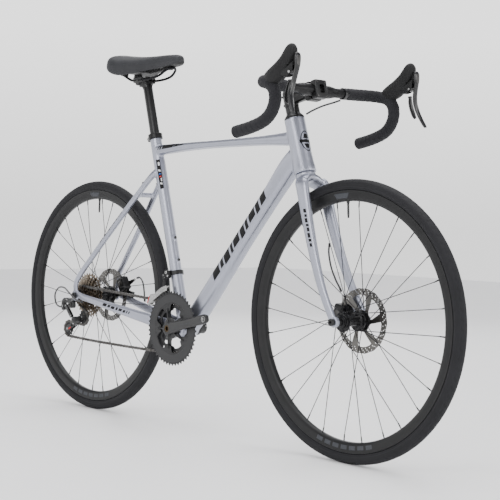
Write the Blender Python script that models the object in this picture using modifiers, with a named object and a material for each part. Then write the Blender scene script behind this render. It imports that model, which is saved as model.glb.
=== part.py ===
"""Road bicycle with disc brakes, drop bar and a 2 x 11 drivetrain.

The origin is on the ground, midway between the wheel centres. +X is forward,
+Y is the rider's left and +Z is up. Lengths below are in millimetres, and
MM turns them into metres where geometry is made.
"""
import bpy
import bmesh
import math
from mathutils import Vector, Matrix

MM = 0.001

# ---------------------------------------------------------------- driving sizes
WHEELBASE = 1035.0
TYRE_R = 343.0            # 700 x 32C
TYRE_W = 32.0
RIM_R = 316.0             # outer edge of the rim flange
RIM_IN = 289.0            # inner nose of the rim
AXLE_Z = TYRE_R
RX, FX = -WHEELBASE / 2, WHEELBASE / 2
BB_X, BB_Z = -99.0, 277.5
CRANK_LEN = 165.0
CRANK_ANGLE = 13.5        # right arm above the horizontal, forward
SEAT_ANGLE = 74.0
SEAT_TUBE_LEN = 562.0
HEAD_ANGLE = 72.4
HEAD_BOT = (350.9, 700.1)
HEAD_LEN = 144.4
STEM_LEN = 89.4
BAR_X, BAR_Z = 379.0, 905.5
BAR_HALF = 210.0          # half the bar width at the hoods, centre line
FRONT_OLD, REAR_OLD = 100.0, 142.0
ROTOR_R = 80.0
ROTOR_F_Y, ROTOR_R_Y = 41.0, 54.0
CHAIN_PITCH = 12.7
RING_IN_T, RING_OUT_T, COG_T, PULLEY_T = 34, 50, 14, 11
RING_IN_Y, RING_OUT_Y = -40.0, -46.6
COG_PITCH_Y = 3.95
COGS = (32, 28, 25, 22, 20, 18, 16, 14, 13, 12, 11)
COG_Y0 = -26.35           # plane of the 32-tooth cog
CHAIN_REAR_Y = COG_Y0 - COG_PITCH_Y * COGS.index(COG_T)
GUIDE = (-505.0, 278.0)   # pulley centres, x and z
TENSION = (-577.0, 239.0)
CAGE_PIVOT = (-517.0, 271.5)
LINK_TOP = (-556.0, -80.0, 310.0)
LINK_BOT = (-529.0, -80.0, 281.0)
RAIL_Y, RAIL_R = 22.0, 3.5
SPOKES = 28
GAP = 0.3

for _o in list(bpy.data.objects):
    bpy.data.objects.remove(_o, do_unlink=True)
for _c in list(bpy.data.collections):
    bpy.data.collections.remove(_c)
PARTS = bpy.data.collections.new("road_bicycle")
CUTS = bpy.data.collections.new("cutters")
for _c in (PARTS, CUTS):
    bpy.context.scene.collection.children.link(_c)


def pitch_r(teeth):
    return CHAIN_PITCH / (2.0 * math.sin(math.pi / teeth))


def unit(deg):
    return math.cos(math.radians(deg)), math.sin(math.radians(deg))


_c, _s = unit(HEAD_ANGLE)
HEAD_UP = Vector((-_c, 0.0, _s))
_c, _s = unit(SEAT_ANGLE)
SEAT_UP = Vector((-_c, 0.0, _s))
Y_AXIS = Vector((0.0, 1.0, 0.0))


def on_head(t, ahead=0.0, y=0.0):
    """A point t mm up the steering axis from the bottom of the head tube."""
    ahead_dir = Vector((HEAD_UP.z, 0.0, -HEAD_UP.x))
    return Vector((HEAD_BOT[0], y, HEAD_BOT[1])) + HEAD_UP * t + ahead_dir * ahead


def on_seat(s, ahead=0.0, y=0.0):
    """A point s mm up the seat tube axis from the bottom bracket."""
    ahead_dir = Vector((SEAT_UP.z, 0.0, -SEAT_UP.x))
    return Vector((BB_X, y, BB_Z)) + SEAT_UP * s + ahead_dir * ahead


# ---------------------------------------------------------------- materials
def material(name, rgb, rough, metal):
    m = bpy.data.materials.new(name)
    m.use_nodes = True
    b = m.node_tree.nodes["Principled BSDF"]
    b.inputs["Base Color"].default_value = (*rgb, 1.0)
    b.inputs["Roughness"].default_value = rough
    b.inputs["Metallic"].default_value = metal
    m.diffuse_color = (*rgb, 1.0)
    return m


LOOKS = {
    "silver": ((0.52, 0.54, 0.60), 0.32, 0.85),
    "black": ((0.022, 0.023, 0.026), 0.42, 0.5),
    "rubber": ((0.018, 0.018, 0.019), 0.75, 0.0),
    "soft": ((0.030, 0.030, 0.033), 0.7, 0.0),
    "steel": ((0.50, 0.49, 0.47), 0.3, 1.0),
    "cassette": ((0.28, 0.24, 0.20), 0.35, 1.0),
    "chain": ((0.16, 0.155, 0.15), 0.38, 1.0),
    "plastic": ((0.03, 0.03, 0.032), 0.5, 0.0),
    "grey": ((0.12, 0.12, 0.13), 0.4, 0.6),
}


def dress(obj, look):
    rgb, rough, metal = LOOKS[look]
    m = material(obj.name + "_mat", rgb, rough, metal)
    obj.data.materials.clear()
    obj.data.materials.append(m)


# ---------------------------------------------------------------- mesh helpers
def make(name, bm, look=None, origin=None, coll=None):
    """Turn a bmesh in millimetres into an object whose origin is at origin."""
    bmesh.ops.recalc_face_normals(bm, faces=bm.faces)
    o = Vector(origin) if origin is not None else Vector((0, 0, 0))
    bmesh.ops.translate(bm, vec=-o, verts=bm.verts)
    bmesh.ops.scale(bm, vec=(MM, MM, MM), verts=bm.verts)
    me = bpy.data.meshes.new(name)
    bm.to_mesh(me)
    bm.free()
    obj = bpy.data.objects.new(name, me)
    obj.location = o * MM
    if look is None:
        (coll or CUTS).objects.link(obj)
        obj.hide_render = True
        obj.display_type = 'WIRE'
    else:
        (coll or PARTS).objects.link(obj)
        dress(obj, look)
        me.shade_smooth()
        me.set_sharp_from_angle(angle=math.radians(35))
    return obj


def skin(rings, closed=False, cap=True):
    """Faces between rings of the same number of points."""
    bm = bmesh.new()
    vs = [[bm.verts.new(p) for p in r] for r in rings]
    n = len(vs[0])
    pairs = list(zip(vs[:-1], vs[1:]))
    if closed:
        pairs.append((vs[-1], vs[0]))
    for a, b in pairs:
        for i in range(n):
            j = (i + 1) % n
            bm.faces.new((a[i], a[j], b[j], b[i]))
    if cap and not closed:
        bm.faces.new(vs[0])
        bm.faces.new(vs[-1])
    return bm


def sleeve(outer, inner):
    """A hollow tube, open at both ends, from outer and inner rings."""
    bm = bmesh.new()
    vo = [[bm.verts.new(p) for p in r] for r in outer]
    vi = [[bm.verts.new(p) for p in r] for r in inner]
    n = len(vo[0])
    for vs in (vo, vi):
        for a, b in zip(vs[:-1], vs[1:]):
            for i in range(n):
                j = (i + 1) % n
                bm.faces.new((a[i], a[j], b[j], b[i]))
    for a, b in ((vo[0], vi[0]), (vo[-1], vi[-1])):
        for i in range(n):
            j = (i + 1) % n
            bm.faces.new((a[i], a[j], b[j], b[i]))
    return bm


def frames(path, first=None):
    """Tangents and two normals along a path, carried without twist."""
    pts = [Vector(p) for p in path]
    tans = []
    for i in range(len(pts)):
        a, b = pts[max(i - 1, 0)], pts[min(i + 1, len(pts) - 1)]
        tans.append((b - a).normalized())
    ref = Vector(first) if first is not None else Vector((0, 1, 0))
    out = []
    for p, t in zip(pts, tans):
        side = (ref - t * ref.dot(t)).normalized()
        out.append((p, t, side, t.cross(side)))
        ref = side
    return out


def superring(centre, side, up, hb, hn, n=12, e=2.0, turn=0.0):
    """Points of a superellipse, half width hb along side and hn along up."""
    ring = []
    for k in range(n):
        a = 2 * math.pi * (k + turn) / n
        c, s = math.cos(a), math.sin(a)
        x = math.copysign(abs(c) ** (2.0 / e), c) * hb
        y = math.copysign(abs(s) ** (2.0 / e), s) * hn
        ring.append(centre + side * x + up * y)
    return ring


def loft(stations, n=12, e=2.0, side=(0, 1, 0), carry=False, turn=0.5):
    """stations: (point, half height, half width). side stays level unless
    carry is set."""
    fr = frames([s[0] for s in stations], side)
    rings = []
    for (p, t, sd, up), st in zip(fr, stations):
        if not carry:
            sd = (Vector(side) - t * Vector(side).dot(t)).normalized()
            up = t.cross(sd)
        ee = st[3] if len(st) > 3 else e
        rings.append(superring(p, sd, up, st[2], st[1], n, ee, turn))
    return skin(rings)


def catmull(pts, step):
    """A smooth curve through pts, resampled about every step mm."""
    p = [Vector(q) for q in pts]
    p = [p[0] * 2 - p[1]] + p + [p[-1] * 2 - p[-2]]
    fine = []
    for i in range(1, len(p) - 2):
        for k in range(24):
            u = k / 24.0
            a, b, c, d = p[i - 1], p[i], p[i + 1], p[i + 2]
            fine.append(0.5 * ((2 * b) + (c - a) * u + (2 * a - 5 * b + 4 * c - d) * u * u
                               + (3 * b - a - 3 * c + d) * u ** 3))
    fine.append(p[-2])
    dist = [0.0]
    for a, b in zip(fine[:-1], fine[1:]):
        dist.append(dist[-1] + (b - a).length)
    count = max(2, int(round(dist[-1] / step)) + 1)
    out, j = [], 0
    for k in range(count):
        want = dist[-1] * k / (count - 1)
        while j < len(dist) - 2 and dist[j + 1] < want:
            j += 1
        span = dist[j + 1] - dist[j]
        f = (want - dist[j]) / span if span else 0.0
        out.append(fine[j].lerp(fine[j + 1], min(max(f, 0.0), 1.0)))
    return out


def as_mesh(obj):
    """Make a curve object a welded mesh object of the same name."""
    dg = bpy.context.evaluated_depsgraph_get()
    me = bpy.data.meshes.new_from_object(obj.evaluated_get(dg))
    bm = bmesh.new()
    bm.from_mesh(me)
    bmesh.ops.remove_doubles(bm, verts=bm.verts, dist=0.000005)
    bmesh.ops.recalc_face_normals(bm, faces=bm.faces)
    bm.to_mesh(me)
    bm.free()
    name, mw, colls = obj.name, obj.matrix_world.copy(), list(obj.users_collection)
    bpy.data.objects.remove(obj, do_unlink=True)
    new = bpy.data.objects.new(name, me)
    new.matrix_world = mw
    for c in colls:
        c.objects.link(new)
    return new


def place_in(obj, look):
    if look is None:
        CUTS.objects.link(obj)
        obj.hide_render = True
        obj.display_type = 'WIRE'
    else:
        PARTS.objects.link(obj)


def wire(name, pts, radius, look="rubber", step=6.0, res=2, smooth=True):
    """A round wire or cable: a poly curve with a bevel and filled caps."""
    cu = bpy.data.curves.new(name, 'CURVE')
    cu.dimensions = '3D'
    cu.bevel_depth = radius * MM
    cu.bevel_resolution = res
    cu.use_fill_caps = True
    cu.render_resolution_u = 0
    path = catmull(pts, step) if smooth else [Vector(p) for p in pts]
    sp = cu.splines.new('POLY')
    sp.points.add(len(path) - 1)
    for q, p in zip(sp.points, path):
        q.co = (*(p * MM), 1.0)
    obj = bpy.data.objects.new(name, cu)
    place_in(obj, look)
    if look is not None:
        dress(obj, look)
    return obj


def plate(name, outline, thick, y_mid, look, holes=(), centre=(0.0, 0.0)):
    """A flat plate standing in the XZ plane: outline and holes are (x, z)."""
    cu = bpy.data.curves.new(name, 'CURVE')
    cu.dimensions = '2D'
    cu.fill_mode = 'BOTH'
    cu.extrude = thick * MM / 2
    cu.render_resolution_u = 0
    for loop in [outline] + list(holes):
        sp = cu.splines.new('POLY')
        sp.use_cyclic_u = True
        sp.points.add(len(loop) - 1)
        for q, (x, z) in zip(sp.points, loop):
            q.co = ((x - centre[0]) * MM, (z - centre[1]) * MM, 0.0, 1.0)
    obj = bpy.data.objects.new(name, cu)
    place_in(obj, look)
    obj.location = (centre[0] * MM, y_mid * MM, centre[1] * MM)
    obj.rotation_euler = (math.pi / 2, 0.0, 0.0)
    bpy.context.view_layer.update()
    obj = as_mesh(obj)
    if look is None:
        obj.hide_render = True
        obj.display_type = 'WIRE'
    else:
        dress(obj, look)
    return obj


def turned(name, profile, centre, axis, steps, look, twist=0.0):
    """A profile of (radius, height) turned about an axis with Screw. The
    profile is a closed loop when it stays off the axis."""
    pts = [tuple(p) for p in profile]
    area = 0.0
    for (r0, h0), (r1, h1) in zip(pts, pts[1:] + pts[:1]):
        area += r0 * h1 - r1 * h0
    if area > 0:
        pts.reverse()
    closed = min(p[0] for p in pts) > 1e-6
    me = bpy.data.meshes.new(name)
    edges = [(i, i + 1) for i in range(len(pts) - 1)]
    if closed:
        edges.append((len(pts) - 1, 0))
    me.from_pydata([(r * MM, 0.0, h * MM) for r, h in pts], edges, [])
    obj = bpy.data.objects.new(name, me)
    place_in(obj, look)
    obj.location = Vector(centre) * MM
    q = Vector((0, 0, 1)).rotation_difference(Vector(axis).normalized())
    obj.rotation_euler = (q.to_matrix() @ Matrix.Rotation(twist, 3, 'Z')).to_euler()
    m = obj.modifiers.new("turn", 'SCREW')
    m.axis = 'Z'
    m.angle = 2 * math.pi
    m.steps = steps
    m.render_steps = steps
    m.use_merge_vertices = True
    m.merge_threshold = 0.00001
    m.use_smooth_shade = True
    if look is not None:
        dress(obj, look)
    return obj


def box(name, centre, size, look=None, turn_y=0.0, bevel=0.0, origin=None):
    """A box of size (x, y, z), turned about Y by turn_y radians."""
    bm = bmesh.new()
    bmesh.ops.create_cube(bm, size=1.0)
    bmesh.ops.scale(bm, vec=size, verts=bm.verts)
    if bevel:
        bmesh.ops.bevel(bm, geom=bm.edges[:], offset=bevel, segments=1,
                        affect='EDGES', profile=0.5)
    bmesh.ops.rotate(bm, cent=(0, 0, 0), matrix=Matrix.Rotation(turn_y, 3, 'Y'), verts=bm.verts)
    bmesh.ops.translate(bm, vec=centre, verts=bm.verts)
    return make(name, bm, look, origin)


def rod(name, a, b, radius, look=None, n=16, radius2=None, origin=None):
    """A straight cylinder or cone from a to b."""
    a, b = Vector(a), Vector(b)
    bm = bmesh.new()
    bmesh.ops.create_cone(bm, cap_ends=True, segments=n, radius1=radius,
                          radius2=radius if radius2 is None else radius2,
                          depth=(b - a).length)
    q = Vector((0, 0, 1)).rotation_difference((b - a).normalized())
    bmesh.ops.rotate(bm, cent=(0, 0, 0), matrix=q.to_matrix(), verts=bm.verts)
    bmesh.ops.translate(bm, vec=(a + b) / 2, verts=bm.verts)
    return make(name, bm, look, origin)


def combine(obj, other, how):
    m = obj.modifiers.new(how.lower(), 'BOOLEAN')
    m.operation = how
    m.solver = 'EXACT'
    m.object = other
    return obj


def cut(obj, *others):
    for o in others:
        combine(obj, o, 'DIFFERENCE')
    return obj


def join(obj, *others):
    for o in others:
        combine(obj, o, 'UNION')
    return obj


def toothed(teeth, tip, root, cx, cz, phase=0.0, flat=0.30):
    """Outline of a toothed disc, two or three points a tooth."""
    out = []
    for k in range(teeth):
        for f, r in (((-0.5, root), (-flat / 2, tip), (flat / 2, tip)) if teeth < 30 else ((-0.5, root), (0.0, tip))):
            a = phase + 2 * math.pi * (k + f) / teeth
            out.append((cx + r * math.cos(a), cz + r * math.sin(a)))
    return out


def circle(cx, cz, r, n, phase=0.0):
    return [(cx + r * math.cos(phase + 2 * math.pi * k / n),
             cz + r * math.sin(phase + 2 * math.pi * k / n)) for k in range(n)]


# ================================================================ frame
def build_frame():
    frame = loft([(on_seat(-4), 19.5, 18.5), (on_seat(60), 18.0, 17.5),
                  (on_seat(130), 16.8, 16.8), (on_seat(SEAT_TUBE_LEN), 16.5, 16.5)], n=14)
    frame = make("frame", frame, "silver")
    # down tube, rounded square, deepest at the head
    dt = loft([(Vector((-96, 0, 264)), 23, 24), (Vector((-29.8, 0, 334.5)), 25, 25),
               (Vector((55, 0, 435)), 24.5, 23), (Vector((139.6, 0, 536)), 24, 21.5),
               (Vector((230, 0, 641)), 24.5, 22), (Vector((290, 0, 711)), 27, 23.5),
               (Vector((322, 0, 746)), 23, 23)], n=12, e=3.0)
    # top tube, flat and slightly arched
    tt = loft([(Vector((-232, 0, 771.5)), 14.5, 14), (Vector((-190, 0, 775)), 14, 17),
               (Vector((-80, 0, 780.5)), 11.6, 19.5), (Vector((26, 0, 783.6)), 10.9, 20.5),
               (Vector((187, 0, 787)), 12.8, 20.5), (Vector((268, 0, 788.6)), 16.5, 20),
               (Vector((314, 0, 789.5)), 20, 19)], n=10, e=2.7)
    ht = turned("cut_head_tube", [(0, 0), (29, 0), (29, 12), (27.2, 26), (26.2, 60),
                                  (26.2, HEAD_LEN), (0, HEAD_LEN)],
                on_head(0), HEAD_UP, 18, None)
    bb = rod("cut_bb_shell", (BB_X, -34, BB_Z), (BB_X, 34, BB_Z), 24.5, n=18)
    pieces = [make("cut_down_tube", dt), make("cut_top_tube", tt), ht, bb]
    for s, tag in ((-1, "right"), (1, "left")):
        ss = loft([(Vector((-224, s * 6, 716)), 9.5, 8), (Vector((-241, s * 19, 697)), 9, 8),
                   (Vector((-290, s * 31.5, 642)), 8.5, 7.8), (Vector((-369, s * 48, 555)), 8.2, 7.6),
                   (Vector((-456, s * 63.5, 459)), 8.2, 7.4), (Vector((-501, s * 71, 408)), 8.5, 7.2),
                   (Vector((-518.5, s * 74.5, 380)), 9.0, 5.6), (Vector((-517.5, s * 75.3, 358)), 9.5, 3.7),
                   (Vector((-512, s * 75.3, 344)), 9, 3.5)], n=8, e=2.3)
        cs = loft([(Vector((-518, s * 75.3, 352)), 8.5, 3.5), (Vector((-503, s * 75.3, 346)), 9.5, 3.7),
                   (Vector((-484, s * 73, 340)), 10, 6.6), (Vector((-440, s * 68, 332.5)), 10.5, 7.4),
                   (Vector((-387, s * 60, 323)), 11.5, 8), (Vector((-320, s * 49.5, 311.5)), 13.5, 8.3),
                   (Vector((-255, s * 39.5, 300.5)), 15.5, 8.3), (Vector((-200, s * 32.2, 291.5)), 17, 8.0),
                   (Vector((-150, s * 25, 283.5)), 18, 8.2), (Vector((-108, s * 20, 277)), 18, 9)],
                  n=8, e=2.5)
        drop = rod("cut_dropout_" + tag, (RX, s * (REAR_OLD / 2 + GAP), AXLE_Z),
                   (RX, s * 79, AXLE_Z), 17.5, n=14)
        pieces += [make("cut_seatstay_" + tag, ss), make("cut_chainstay_" + tag, cs), drop]
    pieces.append(rod("cut_bridge", (-289, -33, 645), (-289, 33, 645), 7.5, n=8))
    # bottle bosses on the down tube and the seat tube
    dt_dir = Vector((0.6468, 0.0, 0.7627))
    dt_out = Vector((-0.7627, 0.0, 0.6468))
    for k, d in enumerate((460.5, 396.5)):
        mid = dt_dir * d + dt_out * 240.2
        pieces.append(rod("cut_boss_dt_%d" % k, mid + dt_out * 18, mid + dt_out * 26.2, 5.5, n=8))
    for k, s in enumerate((254.0, 190.0)):
        pieces.append(rod("cut_boss_st_%d" % k, on_seat(s, 12), on_seat(s, 18.4), 5.5, n=8))
    join(frame, *pieces)
    # bores
    holes = [
        turned("cut_head_bore", [(0, -5), (25.2, -5), (25.2, 9.6), (20.6, 9.6), (20.6, HEAD_LEN - 9.6),
                                 (21.5, HEAD_LEN - 9.6), (21.5, HEAD_LEN + 5), (0, HEAD_LEN + 5)],
               on_head(0), HEAD_UP, 16, None),
        rod("cut_bb_bore", (BB_X, -60, BB_Z), (BB_X, 60, BB_Z), 21.1, n=16),
        rod("cut_seat_bore", on_seat(300), on_seat(SEAT_TUBE_LEN + 5), 14.4, n=14),
        rod("cut_drop_bore", (RX, -90, AXLE_Z), (RX, 90, AXLE_Z), 6.5, n=12),
    ]
    for k, d in enumerate((460.5, 396.5)):
        mid = dt_dir * d + dt_out * 240.2
        holes.append(rod("cut_boss_dt_hole_%d" % k, mid + dt_out * 15, mid + dt_out * 30, 2.6, n=6))
    for k, s in enumerate((254.0, 190.0)):
        holes.append(rod("cut_boss_st_hole_%d" % k, on_seat(s, 15), on_seat(s, 22), 2.6, n=6))
    cut(frame, *holes)
    return frame


def build_frame_fittings():
    # seat collar: a ring with a clamp lug at the back
    z0 = SEAT_TUBE_LEN - 15
    collar = turned("seat_collar", [(17.1, z0), (20.3, z0), (20.3, z0 + 15.5), (17.1, z0 + 15.5)],
                    on_seat(0), SEAT_UP, 16, "black")
    lug = box("cut_collar_lug", on_seat(z0 + 7.7, -23), (12, 13, 15), turn_y=math.radians(90 - SEAT_ANGLE) * -1)
    join(collar, lug)
    cut(collar, rod("cut_collar_bore", on_seat(z0 - 5), on_seat(z0 + 25), 17.0, n=16),
        box("cut_collar_slot", on_seat(z0 + 7.7, -26), (24, 1.6, 22),
            turn_y=math.radians(90 - SEAT_ANGLE) * -1))
    # bottom bracket: cups and bearings as one turned unit
    turned("bottom_bracket", [(12.5, -45), (21.8, -45), (21.8, -34.4), (20.5, -34.4), (20.5, 34.4),
                              (21.8, 34.4), (21.8, 45), (12.5, 45)], (BB_X, 0, BB_Z), Y_AXIS, 16, "grey")
    # thru axle at the back
    ax = turned("rear_thru_axle", [(0, -86), (8.5, -86), (9.5, -84), (9.5, -79.4), (6.0, -79.4),
                                   (6.0, 79), (0, 79)], (RX, 0, AXLE_Z), Y_AXIS, 16, "black")
    cut(ax, rod("cut_rear_axle_hex", (RX, -92, AXLE_Z), (RX, -80, AXLE_Z), 3.4, n=6))
    # hanger with the derailleur's fixed knuckle and barrel
    outline = [(-521, 323.5), (-519, 309), (-527, 304.5), (-538, 307), (-543, 316.5), (-551, 321.0),
               (-562, 320.5), (-566.5, 311), (-567, 298), (-576, 298), (-577, 318), (-571, 330),
               (-556, 334), (-540, 333), (-533, 329.5)]
    hanger = plate("derailleur_hanger", outline, 13.0, -79.0, "black", centre=(-545, 315))
    join(hanger, rod("cut_b_bolt", (-530, -84, 315), (-530, -89.5, 315), 7.5, n=14))
    cut(hanger, rod("cut_hanger_axle", (RX, -95, AXLE_Z), (RX, -65, AXLE_Z), 18.0, n=20))
    # front derailleur: band clamp with the fixed body
    sd = 155.5
    fd = turned("front_derailleur_body", [(17.4, sd - 6), (20.2, sd - 6), (20.2, sd + 6), (17.4, sd + 6)],
                on_seat(0), SEAT_UP, 20, "grey")
    join(fd, box("cut_fd_block", (-151, -24.5, 424), (20, 11, 22), bevel=1.5),
         box("cut_fd_foot", (-161.5, -26.5, 417), (14, 8, 16), bevel=1.0))
    cut(fd, rod("cut_fd_bore", on_seat(sd - 30), on_seat(sd + 30), 17.4, n=20))


# ================================================================ fork and cockpit
def build_fork():
    fork = turned("fork", [(0, -16), (19.3, -16), (19.3, 8), (14.3, 42), (14.3, 214), (11.6, 214),
                           (11.6, 60), (0, 60)], on_head(0), HEAD_UP, 14, "silver")
    pieces = []
    # crown: a loft across the bike
    rings = []
    ahead_dir = Vector((HEAD_UP.z, 0.0, -HEAD_UP.x))
    for y, fwd, hx, hz, up in ((-41, 13, 17, 9, -21), (-34, 10, 20, 12, -15.5), (-20, 4, 24, 13, -14),
                               (0, 0, 26, 12.6, -13.4), (20, 4, 24, 13, -14), (34, 10, 20, 12, -15.5),
                               (41, 13, 17, 9, -21)):
        rings.append(superring(on_head(up, fwd, y), ahead_dir, HEAD_UP, hx, hz, 10, 2.4, 0.5))
    pieces.append(make("cut_crown", skin(rings)))
    for s, tag in ((-1, "right"), (1, "left")):
        bl = loft([(Vector((372, s * 34, 694)), 19, 10), (Vector((379, s * 38, 674)), 19, 11),
                   (Vector((392, s * 40.5, 628)), 17.5, 10.4), (Vector((409, s * 43.5, 574)), 16, 9.8),
                   (Vector((437, s * 48, 496)), 13.8, 8.6), (Vector((466, s * 53, 430)), 12, 7.4),
                   (Vector((490, s * 56.5, 387)), 11, 6.8), (Vector((510, s * 58.2, 353)), 10.5, 6.6),
                   (Vector((516.5, s * 58.4, 341)), 9.5, 6.4)], n=10, e=2.3)
        drop = rod("cut_fork_drop_" + tag, (FX, s * (FRONT_OLD / 2 + GAP), AXLE_Z), (FX, s * 63, AXLE_Z), 13, n=12)
        pieces += [make("cut_blade_" + tag, bl), drop]
    # caliper mount pads on the back of the left blade
    pieces.append(box("cut_fork_pad", (489.5, 56, 361), (18, 9, 60), turn_y=math.radians(-29), bevel=1.5))
    join(fork, *pieces)
    cut(fork, rod("cut_fork_bore", (FX, -80, AXLE_Z), (FX, 80, AXLE_Z), 6.4, n=16))
    turned("headset_lower_bearing", [(20.0, 0.8), (24.3, 0.8), (24.3, 8.8), (20.0, 8.8)],
           on_head(0), HEAD_UP, 16, "steel")
    turned("headset_top_cover", [(15.0, HEAD_LEN - 8.8), (20.7, HEAD_LEN - 8.8), (20.7, HEAD_LEN + 0.4),
                                 (25.8, HEAD_LEN + 0.4), (25.4, HEAD_LEN + 4), (18.2, HEAD_LEN + 13),
                                 (17.6, HEAD_LEN + 15), (17.6, 176.1), (15.0, 176.1)],
           on_head(0), HEAD_UP, 16, "black")
    turned("front_thru_axle", [(0, -71.5), (8.0, -71.5), (9.0, -69.5), (9.0, -65.5), (6.0, -65.5),
                               (6.0, 62.5), (0, 62.5)], (FX, 0, AXLE_Z), Y_AXIS, 16, "black")


def build_cockpit():
    steer = on_head(196.5)
    clamp = Vector((BAR_X, 0, BAR_Z))
    d = (clamp - steer).normalized()
    up = d.cross(Y_AXIS) * -1.0
    if up.z < 0:
        up = -up
    tilt = -math.atan2(d.z, d.x)
    stem = rod("stem", on_head(176.5), on_head(216.5), 18.4, "black", n=16)
    arm = loft([(steer + d * 4, 16.5, 15.5), (steer + d * 30, 14.5, 14.5), (steer + d * 55, 15.0, 17),
                (steer + d * 72, 19, 20.5)], n=10, e=2.8)
    join(stem, make("cut_stem_arm", arm),
         box("cut_stem_block", clamp - d * 11.0, (20.4, 43, 47), turn_y=tilt, bevel=3.0))
    cut(stem, rod("cut_steerer_bore", on_head(170), on_head(225), 15.0, n=14),
        rod("cut_bar_bore", (BAR_X, -40, BAR_Z), (BAR_X, 40, BAR_Z), 16.6, n=14))
    face = box("stem_faceplate", clamp + d * 11.6, (21.6, 41, 47), "black", turn_y=tilt, bevel=3.0)
    cut(face, rod("cut_bar_bore2", (BAR_X, -40, BAR_Z), (BAR_X, 40, BAR_Z), 16.6, n=14))

    # the bar: one path from the left drop end to the right drop end
    half = [(BAR_X, 0, BAR_Z), (BAR_X, 22, BAR_Z), (BAR_X, 45, BAR_Z), (379.5, 66, 905.8), (380.3, 94, 906.3),
            (382.5, 140, 907.5), (386, 172, 908.4), (394, 192, 908.2), (409, 205, 905.8),
            (427, 209.5, 901.5), (441, 210.2, 893), (450.5, 210.8, 880), (453.5, 211.3, 864), (450.5, 211.9, 847),
            (441, 212.6, 830), (425, 213.5, 816), (402, 214.7, 806), (368, 216.6, 797), (328, 219, 789.5)]
    left = [Vector(p) for p in half]
    right = [Vector((p.x, -p.y, p.z)) for p in left]
    path = list(reversed(left)) + right[1:]
    fr = frames(path, (0, 0, 1))
    radius = {0: 15.9, 1: 15.9, 2: 15.9, 3: 13.2}
    n = 8
    rings, mid = [], len(left) - 1
    for i, (p, t, sd, u) in enumerate(fr):
        r = radius.get(abs(i - mid), 12.0)
        rings.append(superring(p, sd, u, r, r, n, 2.0, 0.5))
    make("handlebar", skin(rings), "black")
    for s, tag in ((-1, "right"), (1, "left")):
        idx = [mid - s * k for k in range(4, len(left))]
        outer = [superring(fr[i][0], fr[i][2], fr[i][3], 15.6, 15.6, n, 2.0, 0.5) for i in idx]
        inner = [superring(fr[i][0], fr[i][2], fr[i][3], 12.7, 12.7, n, 2.0, 0.5) for i in idx]
        make("bar_tape_" + tag, sleeve(outer, inner), "soft")
        fat = [superring(fr[i][0], fr[i][2], fr[i][3], 16.1, 16.1, n, 2.0, 0.5) for i in idx]
        cutter = make("cut_tape_" + tag, skin(fat))

        def core(grow):
            rr = []
            for x, zc, hh, hw in ((474, 925, 11, 11), (486, 922.5, 12.5, 12), (500, 924, 13, 12.5),
                                  (512, 932, 12.5, 12.5), (517.5, 936, 10, 11)):
                x2 = x + (grow if x > 510 else -grow if x < 480 else 0.0)
                rr.append(superring(Vector((x2, s * 211.5, zc)), Y_AXIS, Vector((0, 0, 1)), hw + grow, hh + grow,
                                    12, 3.0, 0.5))
            return skin(rr)
        body = make("shifter_body_" + tag, core(0.0), "plastic")
        cut(body, box("cut_lever_slot_" + tag, (514, s * 212, 921), (34, 16.4, 27)))
        rr = []
        for x, zc, hh, hw in ((424, 915, 12, 12), (438, 919, 24, 15.5), (454, 929, 32, 17.2),
                              (469, 939, 38, 17.4), (484, 948, 36, 17), (498, 957, 29, 16), (509, 963, 21, 14),
                              (515.5, 966, 10, 9)):
            rr.append(superring(Vector((x, s * (209.5 + (x - 424) * 0.025), zc)), Y_AXIS, Vector((0, 0, 1)),
                                hw, hh, 14, 2.5, 0.5))
        hood = make("brake_hood_" + tag, skin(rr), "soft")
        cut(hood, cutter, make("cut_core_" + tag, core(0.55)),
            box("cut_hood_front_" + tag, (529, s * 212, 920), (60, 25.7, 37)))
        # brake lever on its pivot
        pivot = Vector((508, s * 212, 921))
        blade = loft([(Vector((522.2, s * 212, 964)), 3.2, 6.5), (Vector((524.2, s * 212, 957)), 4.2, 9.2),
                      (Vector((524.6, s * 212, 941)), 4.2, 8.4), (Vector((522.5, s * 212.8, 925)), 4.0, 7.2),
                      (Vector((518.5, s * 215, 906)), 4.0, 7.2), (Vector((516.5, s * 219, 887)), 3.8, 7.4),
                      (Vector((519, s * 226, 866)), 3.6, 7.4), (Vector((526, s * 231.5, 847)), 3.4, 7.0),
                      (Vector((534, s * 235, 832)), 3.2, 6.4), (Vector((538.5, s * 236.3, 825)), 2.6, 5)],
                     n=10, e=2.6)
        lever = make("brake_lever_" + tag, blade, "black", origin=pivot)
        join(lever, rod("cut_lever_barrel_" + tag, pivot - Y_AXIS * 7.6, pivot + Y_AXIS * 7.6, 6.0, n=14),
             box("cut_lever_neck_" + tag, (515, s * 212, 921.5), (16, 12, 9)))
        hinge = Vector((502.5, s * 214, 901))
        pad = loft([(Vector((503.5, s * 214.2, 901)), 2.4, 5.5), (Vector((502.5, s * 216.5, 889)), 2.4, 7.5),
                    (Vector((503.5, s * 221, 873)), 2.3, 8.4), (Vector((507, s * 226, 857)), 2.2, 8.4),
                    (Vector((510, s * 229, 848)), 1.8, 5.5)], n=8, e=2.8)
        pad = make("shift_paddle_" + tag, pad, "plastic", origin=hinge)
        join(pad, rod("cut_paddle_barrel_" + tag, hinge - Vector((4, 0, 0)), hinge + Vector((5, 0, 0)), 3.6, n=10))
        # brake and shift housings from the tape into the headset cover
        wire("control_housing_" + tag, [(383, s * 86, 889), (372, s * 74, 883), (353, s * 52, 873),
                                        (336, s * 34, 861), (326.5, s * 22, 851.5)], 2.6, "rubber", 9)


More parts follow.
